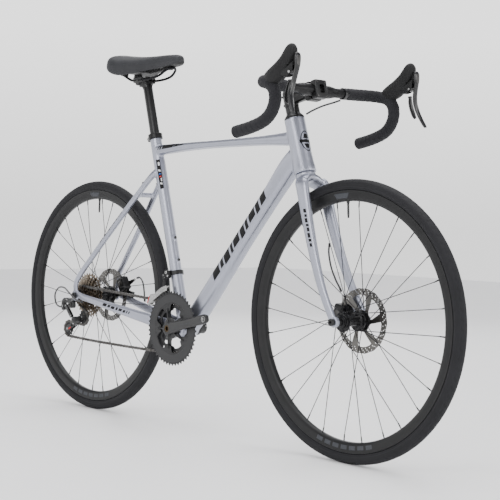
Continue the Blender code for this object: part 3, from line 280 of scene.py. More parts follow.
def flat(outline, thick, y_mid, holes=(), bevel=0.15, centre=(0.0, 0.0)):
    """A plate standing in the XZ plane with softened edges, as a bmesh in
    millimetres. outline and holes are lists of (x, z)."""
    cu = bpy.data.curves.new("tmp_plate", 'CURVE')
    cu.dimensions = '2D'
    cu.fill_mode = 'BOTH'
    cu.extrude = thick / 2 - bevel
    cu.bevel_depth = bevel
    cu.bevel_resolution = 0
    cu.offset = -bevel
    cu.resolution_u = 1
    for loop in [outline] + list(holes):
        sp = cu.splines.new('POLY')
        sp.use_cyclic_u = True
        sp.points.add(len(loop) - 1)
        for q, (x, z) in zip(sp.points, loop):
            q.co = (x - centre[0], z - centre[1], 0.0, 1.0)
    obj = bpy.data.objects.new("tmp_plate", cu)
    bpy.context.scene.collection.objects.link(obj)
    bpy.context.view_layer.update()
    dg = bpy.context.evaluated_depsgraph_get()
    me = bpy.data.meshes.new_from_object(obj.evaluated_get(dg))
    bpy.data.objects.remove(obj, do_unlink=True)
    bm = bmesh.new()
    bm.from_mesh(me)
    bpy.data.meshes.remove(me)
    bmesh.ops.remove_doubles(bm, verts=bm.verts, dist=0.002)
    bmesh.ops.rotate(bm, cent=(0, 0, 0), matrix=Matrix.Rotation(math.pi / 2, 3, 'X'), verts=bm.verts)
    bmesh.ops.translate(bm, vec=(centre[0], y_mid, centre[1]), verts=bm.verts)
    bmesh.ops.recalc_face_normals(bm, faces=bm.faces)
    return bm


def block(centre, size, turn_y=0.0, bevel=1.0, seg=3, turn=None):
    """A rounded box of size (x, y, z)."""
    bm = bmesh.new()
    bmesh.ops.create_cube(bm, size=1.0)
    bmesh.ops.scale(bm, vec=size, verts=bm.verts)
    bmesh.ops.bevel(bm, geom=bm.edges[:], offset=bevel, segments=seg, affect='EDGES', profile=0.5)
    m = turn if turn is not None else Matrix.Rotation(turn_y, 3, 'Y')
    bmesh.ops.rotate(bm, cent=(0, 0, 0), matrix=m, verts=bm.verts)
    bmesh.ops.translate(bm, vec=centre, verts=bm.verts)
    return bm


def circle(cx, cz, r, n, phase=0.0):
    return [(cx + r * math.cos(phase + 2 * math.pi * k / n), cz + r * math.sin(phase + 2 * math.pi * k / n))
            for k in range(n)]


def bolt_head(base, axis, r, h, socket=0.55, n=28, recess=0.6):
    """A socket-head bolt: turned head with a hexagonal recess."""
    ax = Vector(axis).normalized()
    sd = ax.orthogonal().normalized()
    up = ax.cross(sd)
    base = Vector(base)
    rings = []
    for d, rr in ((0, r * 0.98), (h * 0.72, r), (h * 0.93, r * 0.93), (h, r * 0.82)):
        rings.append(superring(base + ax * d, sd, up, rr, rr, n))

    def hexa(d, rr):
        out = []
        for k in range(n):
            a = 2 * math.pi * (k + 0.5) / n
            f = math.cos(math.pi / 6) / math.cos((a % (math.pi / 3)) - math.pi / 6)
            out.append(base + ax * d + (sd * math.cos(a) + up * math.sin(a)) * (rr * f))
        return out
    rings += [hexa(h, r * socket), hexa(h * (1 - recess), r * socket * 0.97)]
    return skin(rings)


def evaluated(obj):
    dg = bpy.context.evaluated_depsgraph_get()
    me = bpy.data.meshes.new_from_object(obj.evaluated_get(dg))
    return me


def fused(bms, voxel, smooth=6, factor=0.5, cutters=(), decimate=0.0, apart=False):
    """Overlapping closed forms melted into one skin with soft fillets. The
    cutters are closed forms taken away again afterwards, with crisp edges."""
    me = bpy.data.meshes.new("tmp_fuse")
    b = merged(bms)
    bmesh.ops.recalc_face_normals(b, faces=b.faces)
    b.to_mesh(me)
    b.free()
    obj = bpy.data.objects.new("tmp_fuse", me)
    bpy.context.scene.collection.objects.link(obj)
    m = obj.modifiers.new("r", 'REMESH')
    m.mode = 'VOXEL'
    m.voxel_size = voxel
    m.use_smooth_shade = True
    if smooth:
        s = obj.modifiers.new("s", 'CORRECTIVE_SMOOTH') if False else obj.modifiers.new("s", 'SMOOTH')
        s.iterations = smooth
        s.factor = factor
    if decimate:
        d = obj.modifiers.new("d", 'DECIMATE')
        d.ratio = decimate
    tmp = [obj]
    # cutters that cross each other are taken away one at a time
    for group in ([[c] for c in cutters] if apart else [list(cutters)] if cutters else []):
        cm = bpy.data.meshes.new("tmp_cut")
        cb = merged(group)
        bmesh.ops.recalc_face_normals(cb, faces=cb.faces)
        cb.to_mesh(cm)
        cb.free()
        co = bpy.data.objects.new("tmp_cut", cm)
        bpy.context.scene.collection.objects.link(co)
        bo = obj.modifiers.new("b", 'BOOLEAN')
        bo.operation = 'DIFFERENCE'
        bo.solver = 'EXACT'
        bo.object = co
        tmp.append(co)
    bpy.context.view_layer.update()
    res = evaluated(obj)
    for o in tmp:
        bpy.data.objects.remove(o, do_unlink=True)
    out = bmesh.new()
    out.from_mesh(res)
    bpy.data.meshes.remove(res)
    return out


def carved(bm, cutters, join=()):
    """A closed form with closed cutters taken away."""
    obs = []
    for nm, b in [("a", bm)] + [("j%d" % i, c) for i, c in enumerate(join)] + [("c%d" % i, c) for i, c in enumerate(cutters)]:
        bmesh.ops.recalc_face_normals(b, faces=b.faces)
        me = bpy.data.meshes.new("tmp_" + nm)
        b.to_mesh(me)
        b.free()
        o = bpy.data.objects.new("tmp_" + nm, me)
        bpy.context.scene.collection.objects.link(o)
        obs.append((nm, o))
    base = obs[0][1]
    for nm, o in obs[1:]:
        mo = base.modifiers.new(nm, 'BOOLEAN')
        mo.operation = 'UNION' if nm[0] == "j" else 'DIFFERENCE'
        mo.solver = 'EXACT'
        mo.object = o
    bpy.context.view_layer.update()
    res = evaluated(base)
    for nm, o in obs:
        bpy.data.objects.remove(o, do_unlink=True)
    out = bmesh.new()
    out.from_mesh(res)
    bpy.data.meshes.remove(res)
    return out


def toothed(teeth, tip, root, cx, cz, phase=0.0, kind="ring"):
    """Outline of a toothed disc with rounded valleys."""
    out = []
    if kind == "ring":
        prof = ((-0.5, 0.0), (-0.36, 0.06), (-0.25, 0.32), (-0.15, 0.78), (-0.07, 1.0), (0.07, 1.0),
                (0.15, 0.78), (0.25, 0.32), (0.36, 0.06))
    else:
        prof = ((-0.5, 0.0), (-0.34, 0.1), (-0.2, 0.6), (-0.1, 1.0), (0.1, 1.0), (0.2, 0.6), (0.34, 0.1))
    for k in range(teeth):
        for f, h in prof:
            a = phase + 2 * math.pi * (k + f) / teeth
            r = root + (tip - root) * h
            out.append((cx + r * math.cos(a), cz + r * math.sin(a)))
    return out


# ---------------------------------------------------------------- materials
def new_material(name, base, rough=0.5, metal=0.0, **sockets):
    m = bpy.data.materials.new(name)
    m.use_nodes = True
    nt = m.node_tree
    b = nt.nodes["Principled BSDF"]
    b.inputs["Base Color"].default_value = (*base, 1.0)
    b.inputs["Roughness"].default_value = rough
    b.inputs["Metallic"].default_value = metal
    for k, v in sockets.items():
        b.inputs[k.replace("_", " ")].default_value = v
    m.diffuse_color = (*base, 1.0)
    return m, nt, b


def coords(nt, scale=(1, 1, 1), rot=(0, 0, 0)):
    tc = nt.nodes.new("ShaderNodeTexCoord")
    mp = nt.nodes.new("ShaderNodeMapping")
    mp.inputs["Scale"].default_value = scale
    mp.inputs["Rotation"].default_value = rot
    nt.links.new(tc.outputs["Object"], mp.inputs["Vector"])
    return mp.outputs["Vector"]


def noise_tex(nt, vec, scale, detail=4.0, rough=0.6, distortion=0.0):
    n = nt.nodes.new("ShaderNodeTexNoise")
    n.inputs["Scale"].default_value = scale
    n.inputs["Detail"].default_value = detail
    n.inputs["Roughness"].default_value = rough
    n.inputs["Distortion"].default_value = distortion
    nt.links.new(vec, n.inputs["Vector"])
    return n.outputs["Fac"]


def voronoi(nt, vec, scale, feature='F1', out="Distance", rnd=1.0):
    n = nt.nodes.new("ShaderNodeTexVoronoi")
    n.feature = feature
    n.inputs["Scale"].default_value = scale
    n.inputs["Randomness"].default_value = rnd
    nt.links.new(vec, n.inputs["Vector"])
    return n.outputs[out]


def ramp(nt, fac, stops):
    r = nt.nodes.new("ShaderNodeValToRGB")
    els = r.color_ramp.elements
    while len(els) < len(stops):
        els.new(0.5)
    for e, (p, c) in zip(els, stops):
        e.position = p
        e.color = (*c, 1.0) if len(c) == 3 else c
    nt.links.new(fac, r.inputs["Fac"])
    return r.outputs["Color"]


def span(nt, fac, lo, hi, a=0.0, b=1.0):
    r = nt.nodes.new("ShaderNodeMapRange")
    r.inputs["From Min"].default_value = a
    r.inputs["From Max"].default_value = b
    r.inputs["To Min"].default_value = lo
    r.inputs["To Max"].default_value = hi
    nt.links.new(fac, r.inputs["Value"])
    return r.outputs["Result"]


def mixed(nt, fac, a, b, kind='MIX'):
    m = nt.nodes.new("ShaderNodeMix")
    m.data_type = 'RGBA'
    m.blend_type = kind
    for sock, v in ((m.inputs[0], fac), (m.inputs[6], a), (m.inputs[7], b)):
        if hasattr(v, "is_linked"):
            nt.links.new(v, sock)
        elif isinstance(v, (int, float)):
            sock.default_value = v
        else:
            sock.default_value = (*v, 1.0)
    return m.outputs[2]


def math_node(nt, op, a, b=None):
    m = nt.nodes.new("ShaderNodeMath")
    m.operation = op
    for sock, v in ((m.inputs[0], a), (m.inputs[1], b)):
        if v is None:
            continue
        if hasattr(v, "is_linked"):
            nt.links.new(v, sock)
        else:
            sock.default_value = v
    return m.outputs[0]


def bump(nt, b, height, strength, distance, after=None):
    n = nt.nodes.new("ShaderNodeBump")
    n.inputs["Strength"].default_value = strength
    n.inputs["Distance"].default_value = distance
    nt.links.new(height, n.inputs["Height"])
    if after is not None:
        nt.links.new(after, n.inputs["Normal"])
    nt.links.new(n.outputs["Normal"], b.inputs["Normal"])
    return n.outputs["Normal"]


def edge_wear(nt, lo=0.50, hi=0.58):
    """Worn convex edges, from how the surface bends."""
    g = nt.nodes.new("ShaderNodeNewGeometry")
    return span(nt, g.outputs["Pointiness"], 0.0, 1.0, lo, hi)


def silver_paint():
    m, nt, b = new_material("silver_paint", (0.36, 0.375, 0.43), 0.33, 0.85,
                            Coat_Weight=0.35, Coat_Roughness=0.16, Coat_IOR=1.45)
    v = coords(nt)
    flake = voronoi(nt, v, 2600.0, 'F1', "Color")
    cloud = noise_tex(nt, v, 7.0, 3.0)
    tint = ramp(nt, cloud, ((0.3, (0.335, 0.348, 0.412)), (0.7, (0.38, 0.394, 0.46))))
    sep = nt.nodes.new("ShaderNodeSeparateColor")
    nt.links.new(flake, sep.inputs[0])
    fl = span(nt, sep.outputs[0], 0.95, 1.04)
    col = nt.nodes.new("ShaderNodeMix")
    col.data_type = 'RGBA'
    col.blend_type = 'MULTIPLY'
    col.inputs[0].default_value = 1.0
    nt.links.new(tint, col.inputs[6])
    comb = nt.nodes.new("ShaderNodeCombineColor")
    for i in range(3):
        nt.links.new(fl, comb.inputs[i])
    nt.links.new(comb.outputs[0], col.inputs[7])
    nt.links.new(col.outputs[2], b.inputs["Base Color"])
    orange = noise_tex(nt, v, 420.0, 2.0)
    rr = span(nt, noise_tex(nt, v, 60.0, 5.0), 0.31, 0.37)
    nt.links.new(rr, b.inputs["Roughness"])
    first = bump(nt, b, orange, 0.02, 0.0002)
    bump(nt, b, sep.outputs[1], 0.012, 0.0001, first)
    return m


def black_anodised(name="black_anodised", tone=0.018, rough=0.36, grain=900.0, metal=0.55):
    m, nt, b = new_material(name, (tone, tone, tone * 1.08), rough, metal)
    v = coords(nt)
    n1 = noise_tex(nt, v, grain, 3.0, 0.7)
    n2 = noise_tex(nt, v, 35.0, 4.0)
    wear = edge_wear(nt, 0.515, 0.60)
    base = ramp(nt, n2, ((0.3, (tone * 0.8, tone * 0.8, tone * 0.86)), (0.75, (tone * 1.5, tone * 1.5, tone * 1.6))))
    col = mixed(nt, wear, base, (tone * 4.5, tone * 4.5, tone * 4.6))
    nt.links.new(col, b.inputs["Base Color"])
    nt.links.new(span(nt, n2, rough - 0.07, rough + 0.09), b.inputs["Roughness"])
    bump(nt, b, n1, 0.12, 0.0002)
    return m


def metal(name, tone, rough, stretch=(1, 1, 1), dirt=None, streak=700.0):
    m, nt, b = new_material(name, tone, rough, 1.0)
    v = coords(nt, stretch)
    n1 = noise_tex(nt, v, streak, 3.0, 0.7)
    v2 = coords(nt)
    n2 = noise_tex(nt, v2, 40.0, 5.0)
    dark = tuple(c * 0.62 for c in tone) if dirt is None else dirt
    col = ramp(nt, n2, ((0.32, dark), (0.62, tone)))
    nt.links.new(col, b.inputs["Base Color"])
    nt.links.new(span(nt, n1, rough - 0.08, rough + 0.14), b.inputs["Roughness"])
    bump(nt, b, n1, 0.10, 0.00015)
    return m


def gloss_black(name="gloss_black", tone=0.006, rough=0.14):
    m, nt, b = new_material(name, (tone, tone, tone * 1.1), rough, 0.0, Coat_Weight=0.35, Coat_Roughness=0.05)
    v = coords(nt)
    n = noise_tex(nt, v, 90.0, 4.0)
    nt.links.new(span(nt, n, rough - 0.03, rough + 0.12), b.inputs["Roughness"])
    base = ramp(nt, n, ((0.3, (tone, tone, tone)), (0.8, (tone * 1.9, tone * 1.9, tone * 2.1))))
    nt.links.new(base, b.inputs["Base Color"])
    bump(nt, b, noise_tex(nt, v, 300.0, 2.0), 0.03, 0.0003)
    return m


def rubber(name, tone, rough=0.72, pores=1400.0, sheen=0.0, deep=0.25):
    m, nt, b = new_material(name, (tone, tone, tone * 1.04), rough, 0.0, Sheen_Weight=sheen,
                            Sheen_Roughness=0.5, Specular_IOR_Level=0.22)
    v = coords(nt)
    pore = voronoi(nt, v, pores, 'F1', "Distance")
    n2 = noise_tex(nt, v, 22.0, 5.0)
    base = ramp(nt, n2, ((0.25, (tone * 0.72, tone * 0.72, tone * 0.75)), (0.8, (tone * 1.45, tone * 1.45, tone * 1.5))))
    wear = edge_wear(nt, 0.505, 0.60)
    nt.links.new(mixed(nt, wear, base, (tone * 3.2, tone * 3.2, tone * 3.3)), b.inputs["Base Color"])
    nt.links.new(span(nt, n2, rough - 0.08, rough + 0.10), b.inputs["Roughness"])
    bump(nt, b, pore, deep, 0.0003)
    return m


def tyre_rubber():
    """Tread with a fine file pattern; the sidewall gets the same pattern and tone."""
    m, nt, b = new_material("tyre_rubber", (0.03, 0.03, 0.032), 0.7, 0.0, Specular_IOR_Level=0.25)
    v = coords(nt)
    n2 = noise_tex(nt, v, 14.0, 6.0)
    fine = noise_tex(nt, v, 900.0, 2.0)
    base = ramp(nt, n2, ((0.25, (0.0065, 0.0065, 0.0078)), (0.8, (0.0125, 0.0125, 0.0145))))
    wear = edge_wear(nt, 0.505, 0.58)
    nt.links.new(mixed(nt, wear, base, (0.03, 0.03, 0.034)), b.inputs["Base Color"])
    nt.links.new(span(nt, fine, 0.56, 0.80), b.inputs["Roughness"])
    f1 = bump(nt, b, fine, 0.22, 0.0003)
    bump(nt, b, voronoi(nt, v, 420.0, 'F1', "Distance"), 0.12, 0.0003, f1)
    return m


def saddle_skin():
    """Matt synthetic leather: fine pebble grain and slight creasing."""
    m, nt, b = new_material("saddle_skin", (0.035, 0.036, 0.039), 0.52, 0.0, Sheen_Weight=0.06,
                            Sheen_Roughness=0.45, Specular_IOR_Level=0.35)
    v = coords(nt)
    grain = voronoi(nt, v, 1100.0, 'F1', "Distance")
    grain2 = voronoi(nt, v, 520.0, 'SMOOTH_F1', "Distance")
    n2 = noise_tex(nt, v, 26.0, 5.0)
    base = ramp(nt, n2, ((0.3, (0.013, 0.0135, 0.016)), (0.78, (0.024, 0.0245, 0.028))))
    nt.links.new(base, b.inputs["Base Color"])
    nt.links.new(span(nt, n2, 0.42, 0.62), b.inputs["Roughness"])
    f1 = bump(nt, b, grain, 0.30, 0.0003)
    bump(nt, b, grain2, 0.16, 0.0004, f1)
    return m


def tape_foam():
    """Cork foam tape with small dimples and a dry bloom."""
    m, nt, b = new_material("tape_foam", (0.03, 0.03, 0.033), 0.82, 0.0, Sheen_Weight=0.05,
                            Sheen_Roughness=0.6, Specular_IOR_Level=0.2)
    v = coords(nt)
    dots = voronoi(nt, v, 520.0, 'F1', "Distance", 0.25)
    n2 = noise_tex(nt, v, 40.0, 6.0)
    fleck = noise_tex(nt, v, 700.0, 2.0)
    base = ramp(nt, n2, ((0.3, (0.009, 0.009, 0.011)), (0.8, (0.018, 0.018, 0.021))))
    col = mixed(nt, span(nt, fleck, 0.0, 1.0, 0.62, 0.74), base, (0.032, 0.032, 0.036))
    nt.links.new(col, b.inputs["Base Color"])
    nt.links.new(span(nt, fleck, 0.72, 0.92), b.inputs["Roughness"])
    f1 = bump(nt, b, dots, 0.45, 0.0005)
    bump(nt, b, fleck, 0.25, 0.0003, f1)
    return m


M = {
    "silver": silver_paint(),
    "anod": black_anodised("black_anodised", 0.0075, 0.34, 900.0, 0.5),
    "anod_rim": black_anodised("rim_anodised", 0.0075, 0.40, 1300.0, 0.45),
    "anod_hub": black_anodised("hub_anodised", 0.008, 0.24, 800.0, 0.6),
    "grey_ring": black_anodised("ring_anodised", 0.0095, 0.36, 1100.0, 0.6),
    "gloss": gloss_black(),
    "satin": black_anodised("satin_paint", 0.0065, 0.38, 1500.0, 0.0),
    "rotor": metal("rotor_steel", (0.145, 0.14, 0.132), 0.30),
    "steel": metal("bright_steel", (0.46, 0.46, 0.455), 0.20),
    "dark_steel": metal("dark_steel", (0.10, 0.098, 0.096), 0.30),
    "spoke": metal("spoke_black", (0.018, 0.018, 0.02), 0.30),
    "cog": metal("cog_steel", (0.27, 0.225, 0.175), 0.27, dirt=(0.075, 0.058, 0.042)),
    "chain": metal("chain_steel", (0.115, 0.11, 0.105), 0.33, dirt=(0.04, 0.037, 0.034)),
    "brass": metal("bolt_brown", (0.115, 0.08, 0.045), 0.35),
    "tyre": tyre_rubber(),
    "hood": rubber("hood_rubber", 0.0085, 0.62, 900.0, 0.03, 0.30),
    "seal": rubber("seal_rubber", 0.007, 0.6, 1800.0, 0.0, 0.15),
    "cable": gloss_black("cable_jacket", 0.014, 0.30),
    "tape": tape_foam(),
    "saddle": saddle_skin(),
    "plastic": rubber("moulded_plastic", 0.007, 0.42, 2400.0, 0.0, 0.10),
}
for _n, _rgb, _r in (("ink_black", (0.004, 0.004, 0.0045), 0.5), ("ink_grey", (0.05, 0.053, 0.06), 0.5),
                     ("ink_red", (0.55, 0.02, 0.02), 0.35), ("ink_blue", (0.02, 0.10, 0.40), 0.35),
                     ("ink_white", (0.72, 0.73, 0.75), 0.4)):
    _m, _nt, _b = new_material(_n, _rgb, _r, 0.0, Specular_IOR_Level=0.18)
    _v = coords(_nt)
    _f = noise_tex(_nt, _v, 240.0, 3.0)
    _nt.links.new(ramp(_nt, _f, ((0.3, tuple(c * 0.85 for c in _rgb)), (0.75, tuple(min(1, c * 1.12) for c in _rgb)))),
                  _b.inputs["Base Color"])
    bump(_nt, _b, _f, 0.05, 0.0002)
    M[_n] = _m


# ================================================================ wheels
def build_tyre(tag, cx):
    n = 576
    prof = []
    steps = 40
    for k in range(steps + 1):
        th = math.radians(-128 + 256 * k / steps)
        r, y = 327.3 + 15.7 * math.cos(th), 15.75 * math.sin(th)
        prof.append([r, y, math.degrees(th)])
    # sidewall ribs and the edge of the tread cap
    rings = []
    for r, y, th in prof:
        row = []
        at = abs(th)
        for i in range(n):
            d = 0.0
            if 54 < at < 66:
                d -= 0.25
            if at >= 66:
                d -= 0.45
            if 100 < at < 108:
                d += 0.35
            if 14 < at < 47:
                phase = (i + (at - 14) * 0.055 * (1 if th > 0 else -1) + (2 if th > 0 else 0)) % 6
                if phase < 1.0:
                    d -= 0.75
            if at < 5:
                d -= 0.0
            row.append((r + d * math.cos(math.radians(th)), y + d * math.sin(math.radians(th))))
        rings.append(row)
    tail = [(316.7, 11.9), (316.4, 9.5), (311.2, 9.2)]
    full = [[(316.4 - 5.2 * 0, -9.5)] * n]
    rings = [[(r, -y)] * n for r, y in reversed(tail[1:])] + rings + [[(r, y)] * n for r, y in tail[1:]]
    bm = bmesh.new()
    vs = []
    for row in rings:
        vs.append([bm.verts.new((cx + r * math.cos(2 * math.pi * (i + 0.5) / n), y,
                                 AXLE_Z + r * math.sin(2 * math.pi * (i + 0.5) / n)))
                   for i, (r, y) in enumerate(row)])
    for a, b in list(zip(vs[:-1], vs[1:])) + [(vs[-1], vs[0])]:
        for i in range(n):
            j = (i + 1) % n
            bm.faces.new((a[i], a[j], b[j], b[i]))
    finish_mesh(tag + "_tyre_surface", bm, M["tyre"], tag + "_wheel", 40, [tag + "_tyre"])


def polar(cx, r, a, y):
    return Vector((cx + r * math.cos(a), y, AXLE_Z + r * math.sin(a)))


def build_rim(tag, cx):
    half = [(316.0, 10.4), (315.6, 11.5), (314.4, 11.9), (312.6, 11.7), (308.0, 11.55), (303.0, 11.2), (298.0, 10.3),
            (294.0, 9.0), (291.3, 7.0), (290.1, 4.6), (289.5, 2.2)]
    loop = half + [(289.4, 0.0)] + [(r, -y) for r, y in reversed(half)]
    loop += [(315.9, -9.95), (313.6, -9.9), (312.6, -9.4), (310.4, -9.4), (308.6, -8.4), (307.8, -5.0), (307.4, 0.0)]
    loop += [(307.8, 5.0), (308.6, 8.4), (310.4, 9.4), (312.6, 9.4), (313.6, 9.9), (315.9, 9.95)]
    bm = revolve(loop, (cx, 0, AXLE_Z), Y, 288)
    finish_mesh(tag + "_rim_surface", bm, M["anod_rim"], tag + "_wheel", 30, [tag + "_rim"])
    # valve
    va = math.radians(93.8 if tag == "front" else 89.0)
    d = Vector((math.cos(va), 0, math.sin(va)))
    c = Vector((cx, 0, AXLE_Z))
    bms = [rod(c + d * 289.6, c + d * 286.2, 4.1, 24, 3.9, 0.5), rod(c + d * 286.4, c + d * 285.2, 4.6, 6, 4.6, 0.2),
           rod(c + d * 285.4, c + d * 262, 2.9, 20, 2.9, 0.3), rod(c + d * 262.2, c + d * 249, 3.3, 20, 2.2, 0.8)]
    for k in range(14):
        t = 284 - k * 1.5
        bms.append(revolve([(2.85, -0.25), (3.15, 0), (2.85, 0.25), (2.4, 0.0)], c + d * t, d, 20))
    finish_mesh(tag + "_valve", merged(bms), M["gloss"], tag + "_wheel", 35)
    # rim marks: plain shapes on both sides
    marks = []
    for s in (-1, 1):
        spots = [(va + math.radians(2.0), 6.4, 0), (va - math.radians(2.0), 6.4, 1)]
        for k in range(7):
            spots.append((math.radians(-90 + (k - 3) * 5.1), 3.6, 2))
        for ang, wdeg, kind in spots:
            if kind == 0:
                a0, a1, r0, r1, skew = ang - math.radians(4.6), ang + math.radians(4.6), 296.5, 309.5, 0.018
            elif kind == 1:
                continue
            else:
                a0, a1, r0, r1, skew = ang - math.radians(1.8), ang + math.radians(1.8), 297.5, 307.5, 0.006
            grid = []
            for j in range(7):
                rr = r0 + (r1 - r0) * j / 6
                # the rim wall's half width at this radius
                pts = [(303.0, 11.2), (298.0, 10.3), (294.0, 9.0)]
                if rr >= 303:
                    w = 11.2 + (rr - 303) / 5 * 0.35
                elif rr >= 298:
                    w = 10.3 + (rr - 298) / 5 * 0.9
                else:
                    w = 9.0 + (rr - 294) / 4 * 1.3
                shrink = skew * (j / 6)
                row = []
                for i in range(13):
                    f = i / 12
                    a = a0 + skew * (1 - j / 6) * 0 + (a1 - a0) * f
                    mid = (a0 + a1) / 2
                    a = mid + (a - mid) * (1 - 0.30 * (1 - j / 6) if kind == 0 else 1)
                    row.append(polar(cx, rr, a, s * (w + 0.12)))
                grid.append(row)
            bm = bmesh.new()
            vs = [[bm.verts.new(p) for p in row] for row in grid]
            for a, b in zip(vs[:-1], vs[1:]):
                for i in range(12):
                    bm.faces.new((a[i], a[i + 1], b[i + 1], b[i]) if s < 0 else (a[i], b[i], b[i + 1], a[i + 1]))
            marks.append(bm)
    obj = finish_mesh(tag + "_rim_marks", merged(marks), M["ink_grey"], tag + "_wheel", 35)
    thicken(obj, 0.10)


def thicken(obj, mm, offset=-1.0):
    m = obj.modifiers.new("body", 'SOLIDIFY')
    m.thickness = mm * MM
    m.offset = offset
    bpy.context.view_layer.update()
    me = evaluated(obj)
    me.materials.clear()
    for s in obj.data.materials:
        me.materials.append(s)
    obj.modifiers.clear()
    obj.data = me


def build_spokes(tag, cx, hl, hr):
    each = 14
    step = 2 * math.pi / each
    for s, side, hy in ((1, "left", hl), (-1, "right", hr)):
        base = math.radians(87.4) if s > 0 else math.radians(87.4) + step / 2
        bms, nips = [], []
        for k in range(each):
            turn = 1 if k % 2 == 0 else -1
            rim_a = base + k * step
            hub_a = rim_a - turn * 2 * step
            out = hy + s * 1.9 * turn
            a0 = polar(cx, 21.6, hub_a, hy - s * 2.4 * turn)
            a1 = polar(cx, 21.8, hub_a, hy)
            a2 = polar(cx, 22.6, hub_a + turn * 0.03, out + s * 0.3 * turn)
            b = polar(cx, 276.0, rim_a, s * 4.3)
            start = a2 + (b - a2).normalized() * 3.0
            path = [a0, a1, a2.lerp(a1, 0.25), start] + [start.lerp(b, f) for f in (0.25, 0.5, 0.75, 1.0)]
            bms.append(tube(path, 1.0, 8, 3, False))
            bms.append(rod(a0 - (a1 - a0).normalized() * 0.9, a0 + (a1 - a0).normalized() * 0.2, 1.9, 14, 1.4))
            e = polar(cx, 290.0, rim_a, s * 4.0)
            t = (e - b).normalized()
            nips.append(rod(b - t * 1.0, b + t * 9.0, 1.55, 10, 1.75, 0.2))
            nips.append(rod(b + t * 9.0, e, 2.0, 4, 2.0, 0.1))
        bm = merged(bms)
        finish_mesh("%s_spoke_wires_%s" % (tag, side), bm, M["spoke"], tag + "_wheel", 40,
                    ["%s_spokes_%s" % (tag, side)])
        finish_mesh("%s_nipples_%s" % (tag, side), merged(nips), M["anod_hub"], tag + "_wheel", 30)


def flange_ring(cx, hy, s, r=25.0):
    """A hub flange: a flat ring round the axle."""
    outline = circle(cx, AXLE_Z, r, 112)
    return flat(outline, 3.2, hy, [circle(cx, AXLE_Z, 12.2, 48)], 0.35, (cx, AXLE_Z))


def build_hub(tag, cx, hl, hr, old, rotor_y):
    end = old / 2
    c = (cx, 0, AXLE_Z)
    if tag == "front":
        prof = [(6.4, -end), (9.6, -end), (10.2, -end + 0.6), (10.4, -end + 4), (10.4, hr - 10), (11.5, hr - 9.2),
                (15.5, hr - 8.6), (16.2, hr - 8.0), (16.4, hr - 4.0), (18, hr - 2.2), (18, hr + 2.2), (15.0, hr + 4.4),
                (13.2, hr + 9), (12.6, -6), (12.6, 6), (13.4, hl - 9), (15.2, hl - 4.4), (18, hl - 2.2), (18, hl + 2.2),
                (18.9, hl + 3.4), (19, hl + 5), (19, rotor_y - 1.6), (16.8, rotor_y - 1.4), (16.8, rotor_y + 3.2),
                (10.2, rotor_y + 3.5), (10.0, end - 0.6), (9.6, end), (6.4, end)]
    else:
        prof = [(6.4, -end), (8.0, -end), (8.6, -end + 0.5), (8.6, -68.2), (15.6, -67.6), (16.0, -67), (16.0, hr - 5.2),
                (18.6, hr - 4.6), (19, hr - 2.2), (19, hr + 2.2), (17.6, hr + 4.6), (16.0, hr + 9), (15.4, 6),
                (16.2, hl - 8), (18, hl - 4.4), (19, hl - 2.2), (19, hl + 2.2), (18.9, hl + 4), (19, hl + 5),
                (19, rotor_y - 1.6), (16.8, rotor_y - 1.4), (16.8, rotor_y + 3.2), (10.2, rotor_y + 3.5),
                (10.0, end - 0.6), (9.6, end), (6.4, end)]
    bms = [revolve(prof, c, Y, 72), flange_ring(cx, hl, 1), flange_ring(cx, hr, -1)]
    finish_mesh(tag + "_hub_shell", merged(bms), M["anod_hub"], tag + "_wheel", 30, [tag + "_hub"])
    # rotor with its carrier and lock ring
    n_arm = 6
    out = []
    for k in range(240):
        a = 2 * math.pi * k / 240
        r = 79.3 + 0.65 * math.cos(18 * a)
        out.append((cx + r * math.cos(a), AXLE_Z + r * math.sin(a)))
    holes = [circle(cx, AXLE_Z, 17.6, 40)]
    for k in range(n_arm):
        a0 = 2 * math.pi * k / n_arm
        win = []
        for f, r in ((0.14, 27.5), (0.32, 26.6), (0.50, 26.4), (0.66, 26.8), (0.80, 28.2), (0.88, 35), (0.95, 44),
                     (1.00, 54), (1.03, 61.5), (0.92, 63.2), (0.75, 63.8), (0.58, 63.8), (0.42, 63.0), (0.335, 60.5),
                     (0.31, 54), (0.26, 44), (0.19, 35)):
            a = a0 + f * 2 * math.pi / n_arm
            win.append((cx + r * math.cos(a), AXLE_Z + r * math.sin(a)))
        holes.append(win)
    for k in range(36):
        a0 = 2 * math.pi * (k + 0.25) / 36
        for f, r, hr_ in ((0.0, 67.6, 1.7), (0.30, 71.8, 1.75), (0.60, 76.0, 1.5)) if k % 3 != 2 else ((0.1, 68.2, 1.7), (0.40, 75.4, 1.7)):
            a = a0 + f * 2 * math.pi / 36
            holes.append(circle(cx + r * math.cos(a), AXLE_Z + r * math.sin(a), hr_, 12))
    bm = flat(out, 1.8, rotor_y, holes, 0.12, (cx, AXLE_Z))
    finish_mesh(tag + "_rotor_disc", bm, M["rotor"], tag + "_wheel", 30, [tag + "_rotor"])
    ring = []
    for k in range(96):
        a = 2 * math.pi * k / 96
        r = 23.5 if (k % 8) < 5 else 21.5
        ring.append((cx + r * math.cos(a), AXLE_Z + r * math.sin(a)))
    bms = [flat(ring, 3.2, rotor_y + 2.5, [circle(cx, AXLE_Z, 17.0, 48)], 0.4, (cx, AXLE_Z))]
    spider = circle(cx, AXLE_Z, 25.6, 72)
    bms.append(flat(spider, 1.0, rotor_y - 1.4, [circle(cx, AXLE_Z, 17.8, 48)], 0.2, (cx, AXLE_Z)))
    finish_mesh(tag + "_rotor_lockring", merged(bms), M["anod"], tag + "_wheel", 30)


